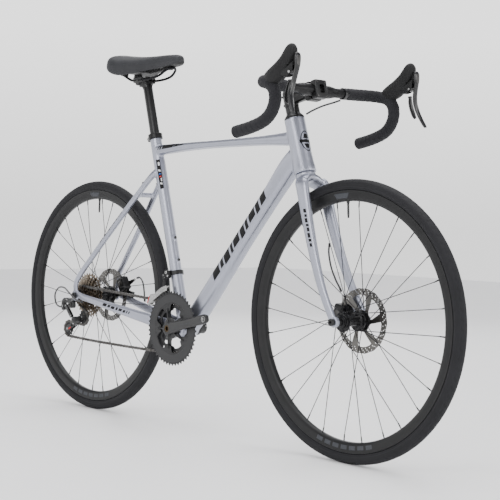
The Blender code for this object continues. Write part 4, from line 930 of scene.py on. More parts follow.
for _tag, _cx, _hl, _hr, _old, _ry in (("front", FX, 26.0, -27.0, 100.0, 41.0), ("rear", RX, 34.0, -18.5, 142.0, 54.0)):
    build_tyre(_tag, _cx)
    build_rim(_tag, _cx)
    build_spokes(_tag, _cx, _hl, _hr)
    build_hub(_tag, _cx, _hl, _hr, _old, _ry)


# ================================================================ frame
def V(x, y, z):
    return Vector((x, y, z))


DT_DIR, DT_OUT = Vector((0.6468, 0.0, 0.7627)), Vector((-0.7627, 0.0, 0.6468))


def build_frame():
    n = 40
    bms = [loft([(on_seat(-4), 19.5, 18.5), (on_seat(60), 18.0, 17.5), (on_seat(130), 16.8, 16.8),
                 (on_seat(330), 16.6, 16.6), (on_seat(SEAT_TUBE_LEN), 16.5, 16.5)], n, 2.0, 5),
           loft([(V(-96, 0, 264), 23, 24), (V(-29.8, 0, 334.5), 25, 25), (V(55, 0, 435), 24.5, 23),
                 (V(139.6, 0, 536), 24, 21.5), (V(230, 0, 641), 24.5, 22), (V(290, 0, 711), 27, 23.5),
                 (V(322, 0, 746), 23, 23)], n, 2.9, 6),
           loft([(V(-232, 0, 771.5), 14.5, 14), (V(-190, 0, 775), 14, 17), (V(-80, 0, 780.5), 11.6, 19.5),
                 (V(26, 0, 783.6), 10.9, 20.5), (V(187, 0, 787), 12.8, 20.5), (V(268, 0, 788.6), 16.5, 20),
                 (V(314, 0, 789.5), 20, 19)], n, 2.6, 6),
           revolve([(0, 0), (28.6, 0), (29, 0.5), (29, 8), (28.7, 13), (27.4, 24), (26.5, 45), (26.2, 70),
                    (26.2, HEAD_LEN - 0.5), (25.8, HEAD_LEN), (0, HEAD_LEN)], on_head(0), HEAD_UP, 64),
           rod((BB_X, -34, BB_Z), (BB_X, 34, BB_Z), 24.5, 64, None, 0.6)]
    for s in (-1, 1):
        bms.append(loft([(V(-224, s * 6, 716), 9.5, 8), (V(-241, s * 19, 697), 9, 8), (V(-290, s * 31.5, 642), 8.5, 7.8),
                         (V(-369, s * 48, 555), 8.2, 7.6), (V(-456, s * 63.5, 459), 8.2, 7.4),
                         (V(-501, s * 71, 408), 8.5, 7.0), (V(-518.5, s * 74.6, 380), 9.0, 5.2),
                         (V(-517.5, s * 75.3, 358), 9.5, 3.6), (V(-512, s * 75.3, 344), 9, 3.5)], 28, 2.3, 5))
        bms.append(loft([(V(-518, s * 75.3, 352), 8.5, 3.5), (V(-503, s * 75.3, 346), 9.5, 3.6),
                         (V(-484, s * 73, 340), 10, 6.2), (V(-440, s * 68, 332.5), 10.5, 7.4),
                         (V(-387, s * 60, 323), 11.5, 8), (V(-320, s * 49.5, 311.5), 13.5, 8.3),
                         (V(-255, s * 39.5, 300.5), 15.5, 8.3), (V(-200, s * 32.2, 291.5), 17, 8.0),
                         (V(-150, s * 25, 283.5), 18, 8.2), (V(-108, s * 20, 277), 18, 9)], 28, 2.5, 5))
        bms.append(rod((RX, s * 71.35, AXLE_Z), (RX, s * 78.8, AXLE_Z), 17.3, 48, None, 0.5))
    bms.append(rod((-289, -33, 645), (-289, 33, 645), 7.3, 24))
    for d in (460.5, 396.5):
        mid = DT_DIR * d + DT_OUT * 240.2
        bms.append(rod(mid + DT_OUT * 18, mid + DT_OUT * 26.0, 5.4, 28, None, 0.4))
    for s in (254.0, 190.0):
        bms.append(rod(on_seat(s, 12), on_seat(s, 18.3), 5.4, 28, None, 0.4))
    cutters = [revolve([(0, -5), (25.2, -5), (25.2, 9.6), (20.6, 9.6), (20.6, HEAD_LEN - 9.6),
                        (21.5, HEAD_LEN - 9.6), (21.5, HEAD_LEN + 5), (0, HEAD_LEN + 5)], on_head(0), HEAD_UP, 48),
               rod((BB_X, -60, BB_Z), (BB_X, 60, BB_Z), 21.0, 48),
               rod(on_seat(300), on_seat(SEAT_TUBE_LEN + 6), 14.3, 40),
               rod((RX, -69.0, AXLE_Z), (RX, -90, AXLE_Z), 6.4, 32),
               rod((RX, 69.0, AXLE_Z), (RX, 90, AXLE_Z), 6.4, 32)]
    # clean end faces, so the melted skin stays flush with its neighbours
    cutters.append(rod(on_head(HEAD_LEN), on_head(HEAD_LEN + 6), 40, 32))
    cutters.append(rod(on_head(0), on_head(-8), 34, 32))
    cutters.append(rod(on_seat(SEAT_TUBE_LEN), on_seat(SEAT_TUBE_LEN + 8), 24, 32))
    cutters.append(rod((RX, -71.3, AXLE_Z), (RX, 71.3, AXLE_Z), 22, 40))
    bm = fused(bms, 1.9, 7, 0.55, cutters[:])
    obj = finish_mesh("frame_skin", bm, M["silver"], "frame", 70, ["frame"])
    return obj


FRAME_SKIN = build_frame()


def build_fork():
    ahead = Vector((HEAD_UP.z, 0.0, -HEAD_UP.x))
    rows = [(-40, 13, 14, 8, -42), (-33, 9, 19, 12, -32), (-20, 4, 24, 14, -20.5), (0, 0, 25.6, 12.6, -13.4),
            (20, 4, 24, 14, -20.5), (33, 9, 19, 12, -32), (40, 13, 14, 8, -42)]
    rings = [superring(on_head(up, f, y), ahead, HEAD_UP, hx, hz, 40, 2.3)
             for y, f, hx, hz, up in smooth_rows([list(r) for r in rows], 5)]
    bms = [skin(rings), revolve([(0, -16), (24, -16), (25.4, -10), (25.6, -1.2), (25.2, -0.4), (19.3, -0.2),
                                 (19.3, 8), (14.3, 42), (14.3, 196), (0, 196)], on_head(0), HEAD_UP, 48)]
    for s in (-1, 1):
        bms.append(loft([(V(372, s * 31, 685), 13, 6), (V(375, s * 34.6, 677), 18.5, 9.6),
                         (V(379.5, s * 37.4, 665), 19, 10.8), (V(392, s * 40.5, 628), 17.5, 10.4),
                         (V(409, s * 43.5, 574), 16, 9.8), (V(437, s * 48, 496), 13.8, 8.6),
                         (V(466, s * 53, 430), 12, 7.4), (V(490, s * 56.5, 387), 11, 6.6),
                         (V(510, s * 58.0, 353), 10.5, 6.2), (V(516.5, s * 58.0, 341), 9.5, 6.0)], 36, 2.3, 6))
        bms.append(rod((FX, s * 50.4, AXLE_Z), (FX, s * 62.8, AXLE_Z), 12.8, 40, None, 0.8))
    turn = Matrix.Rotation(math.radians(-29), 3, 'Y')
    bms.append(block((489.5, 56, 361), (17.6, 8.6, 59.5), 0, 2.0, 3, turn))
    cutters = [rod((FX, -49, AXLE_Z), (FX, -80, AXLE_Z), 6.3, 32), rod((FX, 49, AXLE_Z), (FX, 80, AXLE_Z), 6.3, 32),
               rod((FX, -50.35, AXLE_Z), (FX, 50.35, AXLE_Z), 18, 40)]
    bm = fused(bms, 1.35, 6, 0.55, cutters)
    obj = finish_mesh("fork_skin", bm, M["silver"], "steering", 70, ["fork"])
    c = on_head(0)
    finish_mesh("headset_lower_race", revolve([(20.2, 0.9), (24.2, 0.9), (24.9, 1.5), (24.9, 8.2), (24.2, 8.7), (20.2, 8.7)],
                                              c, HEAD_UP, 72), M["anod"], "frame", 30,
                ["headset_lower_bearing"])
    # top cover and spacers
    h = HEAD_LEN
    bms = [revolve([(15.1, h - 8.6), (20.5, h - 8.6), (20.5, h + 0.5), (25.2, h + 0.5), (25.7, h + 0.9), (25.6, h + 3.4),
                    (24.6, h + 5.2), (21.0, h + 9.6), (18.9, h + 12.6), (18.2, h + 14.0), (15.1, h + 14.0)], c, HEAD_UP, 72)]
    t = h + 14.2
    for th in (5.0, 5.0, 5.0, 2.4):
        bms.append(revolve([(15.1, t), (17.2, t), (17.6, t + 0.4), (17.6, t + th - 0.6), (17.2, t + th - 0.2), (15.1, t + th - 0.2)],
                           c, HEAD_UP, 64))
        t += th
    finish_mesh("headset_cover_and_spacers", merged(bms), M["anod"], "steering", 30, ["headset_top_cover"])
    return obj


FORK_SKIN = build_fork()


def build_cockpit():
    steer, clamp = on_head(196.5), V(BAR_X, 0, BAR_Z)
    d = (clamp - steer).normalized()
    up = d.cross(Y) * -1.0
    if up.z < 0:
        up = -up
    tilt = -math.atan2(d.z, d.x)
    turn = Matrix.Rotation(tilt, 3, 'Y')
    bms = [rod(on_head(176.6), on_head(216.4), 18.3, 48, None, 1.6),
           loft([(steer + d * 4, 16.3, 15.3), (steer + d * 30, 14.3, 14.3), (steer + d * 55, 14.8, 16.8),
                 (steer + d * 72, 18.8, 20.2)], 40, 2.7, 5),
           block(clamp - d * 11.0, (20.0, 42.6, 46.6), 0, 4.0, 4, turn)]
    bm = fused(bms, 0.8, 5, 0.5, [rod(on_head(170), on_head(225), 15.0, 40),
                                  rod((BAR_X, -40, BAR_Z), (BAR_X, 40, BAR_Z), 16.3, 48),
                                  block(clamp + d * 10.3, (21.0, 60, 60), 0, 0.2, 1, turn),
                                  block(on_head(196.5, -20), (14, 1.6, 60), -math.radians(90 - 72.4), 0.2, 1)],
               apart=True)
    finish_mesh("stem_body", bm, M["anod"], "steering", 34, ["stem"])
    face = carved(block(clamp + d * 11.8, (20.8, 40.6, 46.6), 0, 4.5, 4, turn),
                  [rod((BAR_X, -40, BAR_Z), (BAR_X, 40, BAR_Z), 16.3, 64),
                   block(clamp + d * 20, (24, 17, 22), 0, 5.0, 4, turn),
                   block(clamp + d * 1.0, (1.2, 50, 60), 0, 0.2, 1, turn)])
    finish_mesh("stem_face", face, M["anod"], "steering", 34, ["stem_faceplate"])
    bolts = []
    for sy in (-1, 1):
        for su in (-1, 1):
            p = clamp + d * 20.2 + up * (su * 18.0) + Y * (sy * 14.0)
            bolts.append(bolt_head(p, d, 3.2, 2.2))
    for t in (185.0, 208.0):
        p = on_head(t, -16.5, 4.5)
        bolts.append(bolt_head(on_head(t, -15.6, -7.5), -Y, 3.6, 3.2))
    bolts.append(bolt_head(on_head(218.6), HEAD_UP, 3.6, 1.4))
    finish_mesh("stem_bolts", merged(bolts), M["dark_steel"], "steering", 30)
    cap = revolve([(0, 214.6), (17.4, 214.6), (17.8, 215.2), (17.6, 217.4), (16.6, 218.4), (7.0, 218.9), (5.2, 218.0),
                   (0, 218.0)], on_head(0), HEAD_UP, 64)
    finish_mesh("stem_top_cap", cap, M["anod"], "steering", 30)

    half = [(BAR_X, 0, BAR_Z), (BAR_X, 22, BAR_Z), (BAR_X, 45, BAR_Z), (379.5, 66, 905.8), (380.3, 94, 906.3),
            (382.5, 140, 907.5), (386, 172, 908.4), (394, 192, 908.2), (409, 205, 905.8),
            (427, 209.5, 901.5), (441, 210.2, 893), (450.5, 210.8, 880), (453.5, 211.3, 864), (450.5, 211.9, 847),
            (441, 212.6, 830), (425, 213.5, 816), (402, 214.7, 806), (368, 216.6, 797), (328, 219, 789.5)]
    left = [Vector(p) for p in half]
    path = list(reversed([V(p.x, -p.y, p.z) for p in left])) + left[1:]
    fine = catmull(path, 3.0)
    fr = frames(fine, (0, 0, 1))
    rings = []
    for p, t, sd, u in fr:
        ay = abs(p.y)
        r = 15.9 if ay < 46 else (15.9 - (ay - 46) / 22 * 3.9 if ay < 68 else 12.0)
        rings.append(superring(p, sd, u, r, r, 40))
    finish_mesh("bar_tube", skin(rings), M["anod"], "steering", 34, ["handlebar"])
    for s, tag in ((-1, "right"), (1, "left")):
        one = [V(p.x, s * p.y, p.z) for p in left[4:]]
        run = catmull(one, 1.1)
        fr = frames(run, (0, 0, 1))
        m = len(fr)
        total = (m - 1) * 1.1
        n = 44
        rings = []
        for i, (p, t, sd, u) in enumerate(fr):
            dist = i * 1.1
            ring = []
            for k in range(n):
                a = 2 * math.pi * (k + 0.5) / n
                ph = (dist / 15.5 + s * a / (2 * math.pi)) % 1.0
                # each wrap overlaps the last: a rounded step, then a slow slope
                step = 0.0 if ph < 0.0 else (math.sin(min(ph / 0.10, 1.0) * math.pi / 2))
                h = 14.35 + 0.95 * step * (1.0 - 0.62 * max(0.0, (ph - 0.10) / 0.90))
                h += 0.10 * noise.noise(Vector((dist * 0.18, a * 3.0, s * 5.0)))
                if dist < 2.5:
                    h -= (2.5 - dist) * 0.5
                if total - dist < 4:
                    h -= (4 - (total - dist)) * 0.35
                ring.append(p + sd * (math.cos(a) * h) + u * (math.sin(a) * h))
            rings.append(ring)
        finish_mesh("tape_wrap_" + tag, skin(rings), M["tape"], "steering", 50, ["bar_tape_" + tag])
        # finishing band by the stem and the plug in the drop end
        band = [(fr[i][0], fr[i]) for i in range(0, 16)]
        rr = [superring(f[0], f[2], f[3], 15.35 - 0.35 * abs(i - 7.5) / 7.5, 15.35 - 0.35 * abs(i - 7.5) / 7.5, 40)
              for i, (_, f) in enumerate(band)]
        finish_mesh("tape_band_" + tag, skin(rr), M["gloss"], "steering", 34)
        p, t = fr[-1][0], fr[-1][1]
        plug = revolve([(0, -8), (11.8, -8), (11.8, -0.6), (14.4, -0.4), (15.0, 0.2), (14.6, 1.0), (12.0, 1.5),
                        (10.8, 1.2), (10.2, 0.8), (0, 0.8)], p - t * 0.8, t, 44)
        finish_mesh("bar_plug_" + tag, plug, M["plastic"], "steering", 34)

        # hood, lever body, lever and paddle
        rows = [[x, s * (209.5 + (x - 424) * 0.025), zc, hh, hw] for x, zc, hh, hw in
                ((424, 914.5, 11.5, 12), (438, 915, 20, 16.5), (453, 920, 23.5, 17.6), (467, 927.5, 26, 17.4),
                 (478, 936, 27.5, 16.4), (487, 945.5, 30, 15.4), (496, 955.5, 29.5, 15), (507, 964, 23, 14),
                 (514.5, 968, 12, 9))]
        rr = []
        for k, (x, y, zc, hh, hw) in enumerate(smooth_rows(rows, 6)):
            rr.append(superring(V(x, y, zc), Y, Z, hw * 0.985, hh * 0.985, 56, 2.5))
        for f, g in ((0.86, 0.5), (0.6, 0.85), (0.3, 1.05)):
            rr.append([rr[-1][i].lerp(V(516.3, s * 211.8, 966), 1 - f) + X * (0.25 * g) for i in range(56)])
        hood = skin(rr)
        hood = carved(hood, [block((529, s * 212, 920), (60, 25.7, 37), 0, 1.5, 2)])
        # raised ribs on the outer side of the hood
        finish_mesh("hood_rubber_" + tag, hood, M["hood"], "steering", 38, ["brake_hood_" + tag])
        ribs = []
        for k in range(6):
            x0 = 452 + k * 7.2
            row = next((r for r in smooth_rows(rows, 6) if r[0] >= x0), rows[-1])
            for side in (-1, 1):
                pts = []
                for f in (-0.30, -0.15, 0.0, 0.15, 0.30):
                    zz = row[2] + row[3] * f + 4
                    fz = (zz - row[2]) / row[3]
                    yy = row[1] + side * row[4] * 0.985 * (1 - abs(fz) ** 2.5) ** (1 / 2.5)
                    pts.append(V(row[0] + f * 10, yy - side * 0.1, zz))
                ribs.append(tube(pts, lambda t: 0.35 + 0.45 * math.sin(math.pi * t), 8, 1.0))
        finish_mesh("hood_ribs_" + tag, merged(ribs), M["hood"], "steering", 50)
        rr = []
        for x, zc, hh, hw in smooth_rows([[474, 925, 11, 11], [486, 922.5, 12.5, 12], [500, 924, 13, 12.5],
                                          [512, 932, 12.5, 12.5], [517.5, 936, 10, 11]], 4):
            rr.append(superring(V(x, s * 211.5, zc), Y, Z, hw, hh, 36, 3.0))
        body = carved(skin(rr), [block((514, s * 212, 921), (34, 16.4, 27), 0, 0.8, 2)])
        finish_mesh("lever_body_" + tag, body, M["plastic"], "steering", 34, ["shifter_body_" + tag])
        pin = [rod((508, s * 212 - 12.2, 921), (508, s * 212 - 8.0, 921), 3.2, 20, None, 0.3),
               rod((508, s * 212 + 8.0, 921), (508, s * 212 + 12.2, 921), 3.2, 20, None, 0.3)]
        finish_mesh("lever_pin_" + tag, merged(pin), M["steel"], "steering", 30)
        pivot = V(508, s * 212, 921)
        blade = loft([(V(522.2, s * 212, 964), 3.0, 6.2), (V(524.2, s * 212, 957), 4.0, 9.0),
                      (V(524.6, s * 212, 941), 4.1, 8.3), (V(522.5, s * 212.8, 925), 3.9, 7.1),
                      (V(518.5, s * 215, 906), 3.9, 7.1), (V(516.5, s * 219, 887), 3.7, 7.3),
                      (V(519, s * 226, 866), 3.5, 7.3), (V(526, s * 231.5, 847), 3.3, 6.9),
                      (V(534, s * 235, 832), 3.1, 6.3), (V(538.3, s * 236.2, 825.4), 2.5, 4.9)], 36, 2.5, 6)
        lever = fused([blade, rod(pivot - Y * 7.5, pivot + Y * 7.5, 5.9, 32, None, 0.5),
                       block((515, s * 212, 921.5), (16, 11.6, 8.6), 0, 2.0, 3)], 0.55, 4, 0.5)
        finish_mesh("brake_blade_" + tag, lever, M["gloss"], "brake_lever_" + tag, 38,
                    ["brake_lever_" + tag])
        # a plain bright inlay near the top of the blade
        inlay = loft([(V(527.9, s * 212, 957), 0.5, 5.4), (V(528.7, s * 212, 948), 0.5, 5.8), (V(528.4, s * 212, 936), 0.5, 5.0)],
                     20, 3.5, 5)
        finish_mesh("brake_inlay_" + tag, inlay, M["dark_steel"], "brake_lever_" + tag, 38)
        hinge = V(502.5, s * 214, 901)
        pad = loft([(V(503.5, s * 214.2, 901), 2.3, 5.4), (V(502.5, s * 216.5, 889), 2.3, 7.4),
                    (V(503.5, s * 221, 873), 2.2, 8.3), (V(507, s * 226, 857), 2.1, 8.2),
                    (V(510, s * 229, 848), 1.7, 5.3)], 28, 2.8, 6)
        pad = fused([pad, rod(hinge - X * 4, hinge + X * 5, 3.5, 24, None, 0.4)], 0.5, 4, 0.5)
        finish_mesh("shift_blade_" + tag, pad, M["gloss"], "shift_paddle_" + tag, 38,
                    ["shift_paddle_" + tag])
        run = [(383, s * 86, 889), (372, s * 74, 883), (353, s * 52, 873), (336, s * 34, 861), (326.5, s * 22, 851.5)]
        finish_mesh("control_cable_" + tag, tube(run, 2.5, 16, 2.5), M["cable"], "steering", 40,
                    ["control_housing_" + tag])


build_cockpit()


# ================================================================ seat
def build_seat():
    rows = smooth_rows([(-143.5, 1030, 1020, 1020.5, 6), (-149, 1035, 1014, 1014.5, 14), (-165, 1038.5, 1009, 1010, 18),
                        (-205, 1040.5, 1005, 1007, 19.5), (-250, 1041, 1001, 1005, 24), (-290, 1042, 996, 1003, 37),
                        (-325, 1045, 991, 1001, 53), (-360, 1049, 989, 1000, 66), (-390, 1053, 997, 1003, 71),
                        (-410, 1053, 1012, 1014, 62), (-420, 1049, 1030, 1030.5, 40)], 7)
    shape = ((0, 0), (.20, .012), (.42, .045), (.62, .11), (.78, .21), (.89, .34), (.96, .52), (1.0, .80),
             (.985, .93), (.93, .995), (.84, 1.0))
    rings, seam = [], [[], []]
    for x, top, edge, bot, hw in rows:
        half = [(f * hw, top - (top - edge) * d) for f, d in shape] + [(.55 * hw, bot), (0, bot)]
        half = smooth_rows(half, 3)
        rings.append([V(x, y, z) for y, z in half] + [V(x, -y, z) for y, z in reversed(half[1:-1])])
        for i, s in enumerate((1, -1)):
            seam[i].append(V(x, s * (half[18][0] + 0.15), half[18][1] + 0.1))
    for end, sign in ((0, 1), (-1, -1)):
        c = sum(rings[end], V(0, 0, 0)) / len(rings[end])
        more = []
        for k in (1, 2, 3):
            f, g = math.cos(math.pi / 2 * k / 4), math.sin(math.pi / 2 * k / 4)
            more.append([c + (p - c) * f + X * (sign * 1.4 * g) for p in rings[end]])
        rings = list(reversed(more)) + rings if end == 0 else rings + more
    top = finish_mesh("saddle_cover", skin(rings), M["saddle"], "seat", 60, ["saddle"])
    threads = []
    for line in seam:
        line = line[3:-4]
        path = catmull(line, 2.2)
        for a, b in zip(path[:-1:1], path[1::1]):
            threads.append(tube([a.lerp(b, 0.15), a.lerp(b, 0.5) + Z * 0.12, a.lerp(b, 0.8)], 0.32, 5, 1.0, False))
    finish_mesh("saddle_stitches", merged(threads), M["ink_grey"], "seat", 60)
    # moulded base below the cover
    base = []
    for x, top_, edge, bot, hw in rows[6:-5]:
        base.append([V(x, f * hw, z) for f, z in ((-.86, edge - 0.2), (-.5, bot - 2.6), (0, bot - 3.2), (.5, bot - 2.6),
                                                  (.86, edge - 0.2), (.5, bot + 1), (0, bot + 1), (-.5, bot + 1))])
    finish_mesh("saddle_base", skin(base), M["plastic"], "seat", 34)
    wells = [block((-205, 0, 1002.5), (30, 20, 8), 0.06, 2.5, 3)]
    for s in (1, -1):
        wells.append(block((-372, s * 25, 994.5), (24, 15, 11), 0.2, 3.0, 3))
    for k in range(7):
        wells.append(block((-232 - 13 * k, 0, 1001.4 - 0.35 * k), (2.2, 22 + 5 * k, 3), 0, 0.6, 2))
    finish_mesh("saddle_wells", merged(wells), M["seal"], "seat", 34)
    side = [(-376, 25, 992.5), (-360, 24, 984.5), (-343, 22.4, 976.5), (-331, 22, 974.6), (-311, 22, 974.6),
            (-288, 22, 974.6), (-270, 22, 974.8), (-240, 21.6, 977), (-214, 21, 983), (-196, 18, 993),
            (-184, 11, 1000), (-180, 0, 1002.3)]
    path = side + [(x, -y, z) for x, y, z in reversed(side[:-1])]
    finish_mesh("saddle_rail_wire", tube(path, 3.5, 20, 2.4), M["spoke"], "seat", 40, ["saddle_rails"])

    # post
    finish_mesh("post_tube", merged([rod(on_seat(425), on_seat(712), 13.6, 64, None, 0.8),
                                     rod(on_seat(424), on_seat(426), 12.0, 48)]),
                M["anod"], "seat", 34, ["seatpost"])
    rail_holes = [rod((-350, y, 974.6), (-270, y, 974.6), 3.55, 24) for y in (-22, 22)]
    neck = fused([rod(on_seat(696), on_seat(719), 13.55, 48),
                  loft([(on_seat(700), 12.5, 12.8), (on_seat(712, -3), 12, 16), (V(-312, 0, 966), 7, 23)], 40, 2.6, 5),
                  rod((-310, -27, 967.5), (-310, 27, 967.5), 8.5, 40, None, 1.2),
                  block((-310, 0, 970.5), (40, 52, 7.4), 0, 2.2, 3)], 0.8, 5, 0.5, rail_holes)
    finish_mesh("post_head", neck, M["satin"], "seat", 34)
    upper = []
    for s in (-1, 1):
        upper.append(carved(block((-310, s * 21.5, 979.2), (36, 13, 8.4), 0, 2.2, 3),
                            [rod((-350, s * 22, 974.6), (-270, s * 22, 974.6), 3.55, 24)]))
    upper.append(block((-310, 0, 980.4), (15, 44, 5.6), 0, 1.6, 3))
    finish_mesh("post_clamp", merged(upper), M["anod"], "seat", 34)
    nuts = []
    for x in (-294.0, -326.0):
        nuts.append(rod((x, 0, 958.5), (x, 0, 983.5), 2.5, 20))
        nuts.append(bolt_head((x, 0, 961.5), -Z, 4.3, 3.6))
        nuts.append(rod((x, -7, 982.2), (x, 7, 982.2), 3.4, 24, None, 0.4))
    finish_mesh("post_bolts", merged(nuts), M["dark_steel"], "seat", 30)
    # height scale: plain strokes on the post's left and back
    marks = []
    for k in range(13):
        w = 0.18 if k % 5 else 0.34
        ringp = []
        for a in range(5):
            t = math.radians(196) + w * (a / 4 - 0.5) * 2
            sd = Vector((SEAT_UP.z, 0, -SEAT_UP.x))
            ringp.append(on_seat(590 + 6.5 * k) + (sd * math.cos(t) + Y * math.sin(t)) * 13.68)
        marks.append(tube(ringp, 0.30, 5, 1.2, False))
    finish_mesh("post_scale", merged(marks), M["ink_white"], "seat", 60)
    # collar
    z0 = SEAT_TUBE_LEN - 15
    tilt = -math.radians(16)
    band = revolve([(16.6, z0 + 0.2), (19.6, z0), (20.5, z0 + 1.3), (20.1, z0 + 3.2), (20.1, z0 + 12.2), (20.6, z0 + 14.0),
                    (19.8, z0 + 15.5), (16.6, z0 + 15.5)], on_seat(0), SEAT_UP, 96)
    lug = block(on_seat(z0 + 7.7, -22.6), (12.5, 14, 14.2), tilt, 2.6, 4)
    collar = fused([band, lug], 0.5, 3, 0.5, [rod(on_seat(z0 - 8), on_seat(z0 + 30), 17.0, 64),
                                             block(on_seat(z0 + 7.7, -26), (24, 1.5, 24), tilt, 0.2, 1)], apart=True)
    finish_mesh("collar_band", collar, M["anod"], "frame", 34, ["seat_collar"])
    p = on_seat(z0 + 7.7, -24.4)
    finish_mesh("collar_bolt", merged([bolt_head(p - Y * 6.6, -Y, 3.7, 3.0), rod(p + Y * 6.6, p + Y * 8.4, 3.2, 6)]),
                M["steel"], "frame", 30)


build_seat()


# ================================================================ fittings
def build_fittings():
    bb = V(BB_X, 0, BB_Z)
    for s in (-1, 1):
        cup = revolve([(12.5, s * 45), (20.6, s * 45), (21.8, s * 44.2), (21.8, s * 40.4), (21.2, s * 39.8), (21.8, s * 39.2),
                       (21.8, s * 34.6), (20.0, s * 34.0), (12.5, s * 34.0)], bb, Y, 96)
        finish_mesh("bb_cup_%d" % (s + 1), cup, M["anod"], "frame", 30,
                    ["bottom_bracket"] if s < 0 else ())
    bolts = [bolt_head((RX, -79.4, AXLE_Z), -Y, 9.3, 6.4, 0.42, 40), rod((RX, -79.4, AXLE_Z), (RX, 79.0, AXLE_Z), 6.0, 32),
             ]
    finish_mesh("rear_axle", merged(bolts), M["anod"], "frame", 30, ["rear_thru_axle"])


build_fittings()


# ================================================================ drivetrain
def chain_route():
    """Centre line of the chain as a closed loop of points."""
    order = [(V(BB_X, 0, BB_Z), pitch_r(34), 1), (V(TENSION[0], 0, TENSION[1]), pitch_r(11), 1),
             (V(GUIDE[0], 0, GUIDE[1]), pitch_r(11), -1), (V(RX, 0, AXLE_Z), pitch_r(14), 1)]

    def tangent(a, ra, s1, b, rb, s2):
        dx, dz = b.x - a.x, b.z - a.z
        rr = (ra * s1 - rb * s2) / math.hypot(dx, dz)
        ang = math.atan2(dz, dx) + math.acos(max(-1.0, min(1.0, rr)))
        na = V(math.cos(ang), 0, math.sin(ang))
        return a + na * (ra * s1), b + na * (rb * s2)
    legs = [tangent(*order[i], *order[(i + 1) % 4]) for i in range(4)]
    pts = []
    for i in range(4):
        c, r, s1 = order[i]
        p_in, p_out = legs[i - 1][1], legs[i][0]
        a_in, a_out = math.atan2(p_in.z - c.z, p_in.x - c.x), math.atan2(p_out.z - c.z, p_out.x - c.x)
        sweep = (a_in - a_out) % (2 * math.pi) if s1 > 0 else (a_out - a_in) % (2 * math.pi)
        n = max(3, int(sweep / 0.02))
        for k in range(n + 1):
            a = a_in - s1 * sweep * k / n
            pts.append(V(c.x + r * math.cos(a), 0, c.z + r * math.sin(a)))
        q = legs[i][1]
        run = (q - p_out).length
        m = max(2, int(run / 2.0))
        sag = 2.6 if i == 0 else 0.0
        for k in range(1, m):
            f = k / m
            pts.append(p_out.lerp(q, f) - Z * (sag * 4 * f * (1 - f)) * (1 if run > 200 else 0))
    for p in pts:
        f = min(max((p.x + 172.0) / (-452.0 + 172.0), 0.0), 1.0)
        p.y = RING_IN_Y + f * (CHAIN_REAR_Y - RING_IN_Y)
    return pts


def build_chain():
    pts = chain_route()
    dist = [0.0]
    for a, b in zip(pts, pts[1:] + pts[:1]):
        dist.append(dist[-1] + (b - a).length)
    loop = pts + [pts[0]]
    total = dist[-1]
    n = int(round(total / PITCH / 2)) * 2
    pins, j = [], 0
    for k in range(n):
        want = (k + 0.25) * total / n
        while dist[j + 1] < want:
            j += 1
        f = (want - dist[j]) / (dist[j + 1] - dist[j])
        pins.append(loop[j].lerp(loop[j + 1], f))
    # one plate as rings round a figure of eight
    eight = []
    for k in range(26):
        a = 2 * math.pi * k / 26
        u = math.cos(a) * 10.45
        r = 4.15 - 0.85 * math.cos(math.pi * min(1.0, abs(u) / 6.4)) ** 2 * (1 if abs(u) < 3.2 else 0.55)
        if abs(u) > 6.35:
            v = math.sqrt(max(0.0, 4.15 ** 2 - (abs(u) - 6.35) ** 2))
        else:
            v = 3.25 + 0.9 * (abs(u) / 6.35) ** 2
        eight.append((u, math.copysign(v, math.sin(a)) if abs(math.sin(a)) > 1e-6 else 0.0))
    plates, rollers = [], []
    for k in range(n):
        a, b = pins[k], pins[(k + 1) % n]
        mid, d = (a + b) / 2, (b - a).normalized()
        side = (Y - d * d.y).normalized()
        up = d.cross(side)
        outer = k % 2 == 0
        for s in (-1, 1):
            y0, y1 = (1.98, 2.78) if outer else (1.16, 1.92)
            rings = []
            for yy, sc in ((y0, 0.96), (y0 + 0.14, 1.0), (y1 - 0.14, 1.0), (y1, 0.95)):
                rings.append([mid + d * (u * sc) + up * (v * sc) + side * (s * yy) for u, v in eight])
            plates.append(skin(rings))
        rollers.append(rod(a - side * 1.12, a + side * 1.12, 3.86, 16, None, 0.2))
        rollers.append(rod(a - side * 2.98, a + side * 2.98, 1.75, 10, None, 0.15))
    finish_mesh("chain_plates", merged(plates), M["chain"], "frame", 34, ["chain"])
    finish_mesh("chain_rollers", merged(rollers), M["dark_steel"], "frame", 34)
    return pins


def valley_phase(pins, cx, cz, r, teeth):
    """Turns a toothed disc so that the chain's rollers sit between teeth."""
    xs = ys = 0.0
    for p in pins:
        if abs(math.hypot(p.x - cx, p.z - cz) - r) < 0.35:
            a = math.atan2(p.z - cz, p.x - cx) * teeth
            xs += math.cos(a)
            ys += math.sin(a)
    return (math.atan2(ys, xs) + math.pi) / teeth


def smooth_loop(pts, sub):
    n = len(pts)
    out = []
    for i in range(n):
        a, b, c, d = pts[i - 1], pts[i], pts[(i + 1) % n], pts[(i + 2) % n]
        for k in range(sub):
            u = k / sub
            out.append(tuple(0.5 * (2 * q + (r - p) * u + (2 * p - 5 * q + 4 * r - s) * u * u + (3 * q - p - 3 * r + s) * u ** 3)
                             for p, q, r, s in zip(a, b, c, d)))
    return out


PINS = build_chain()


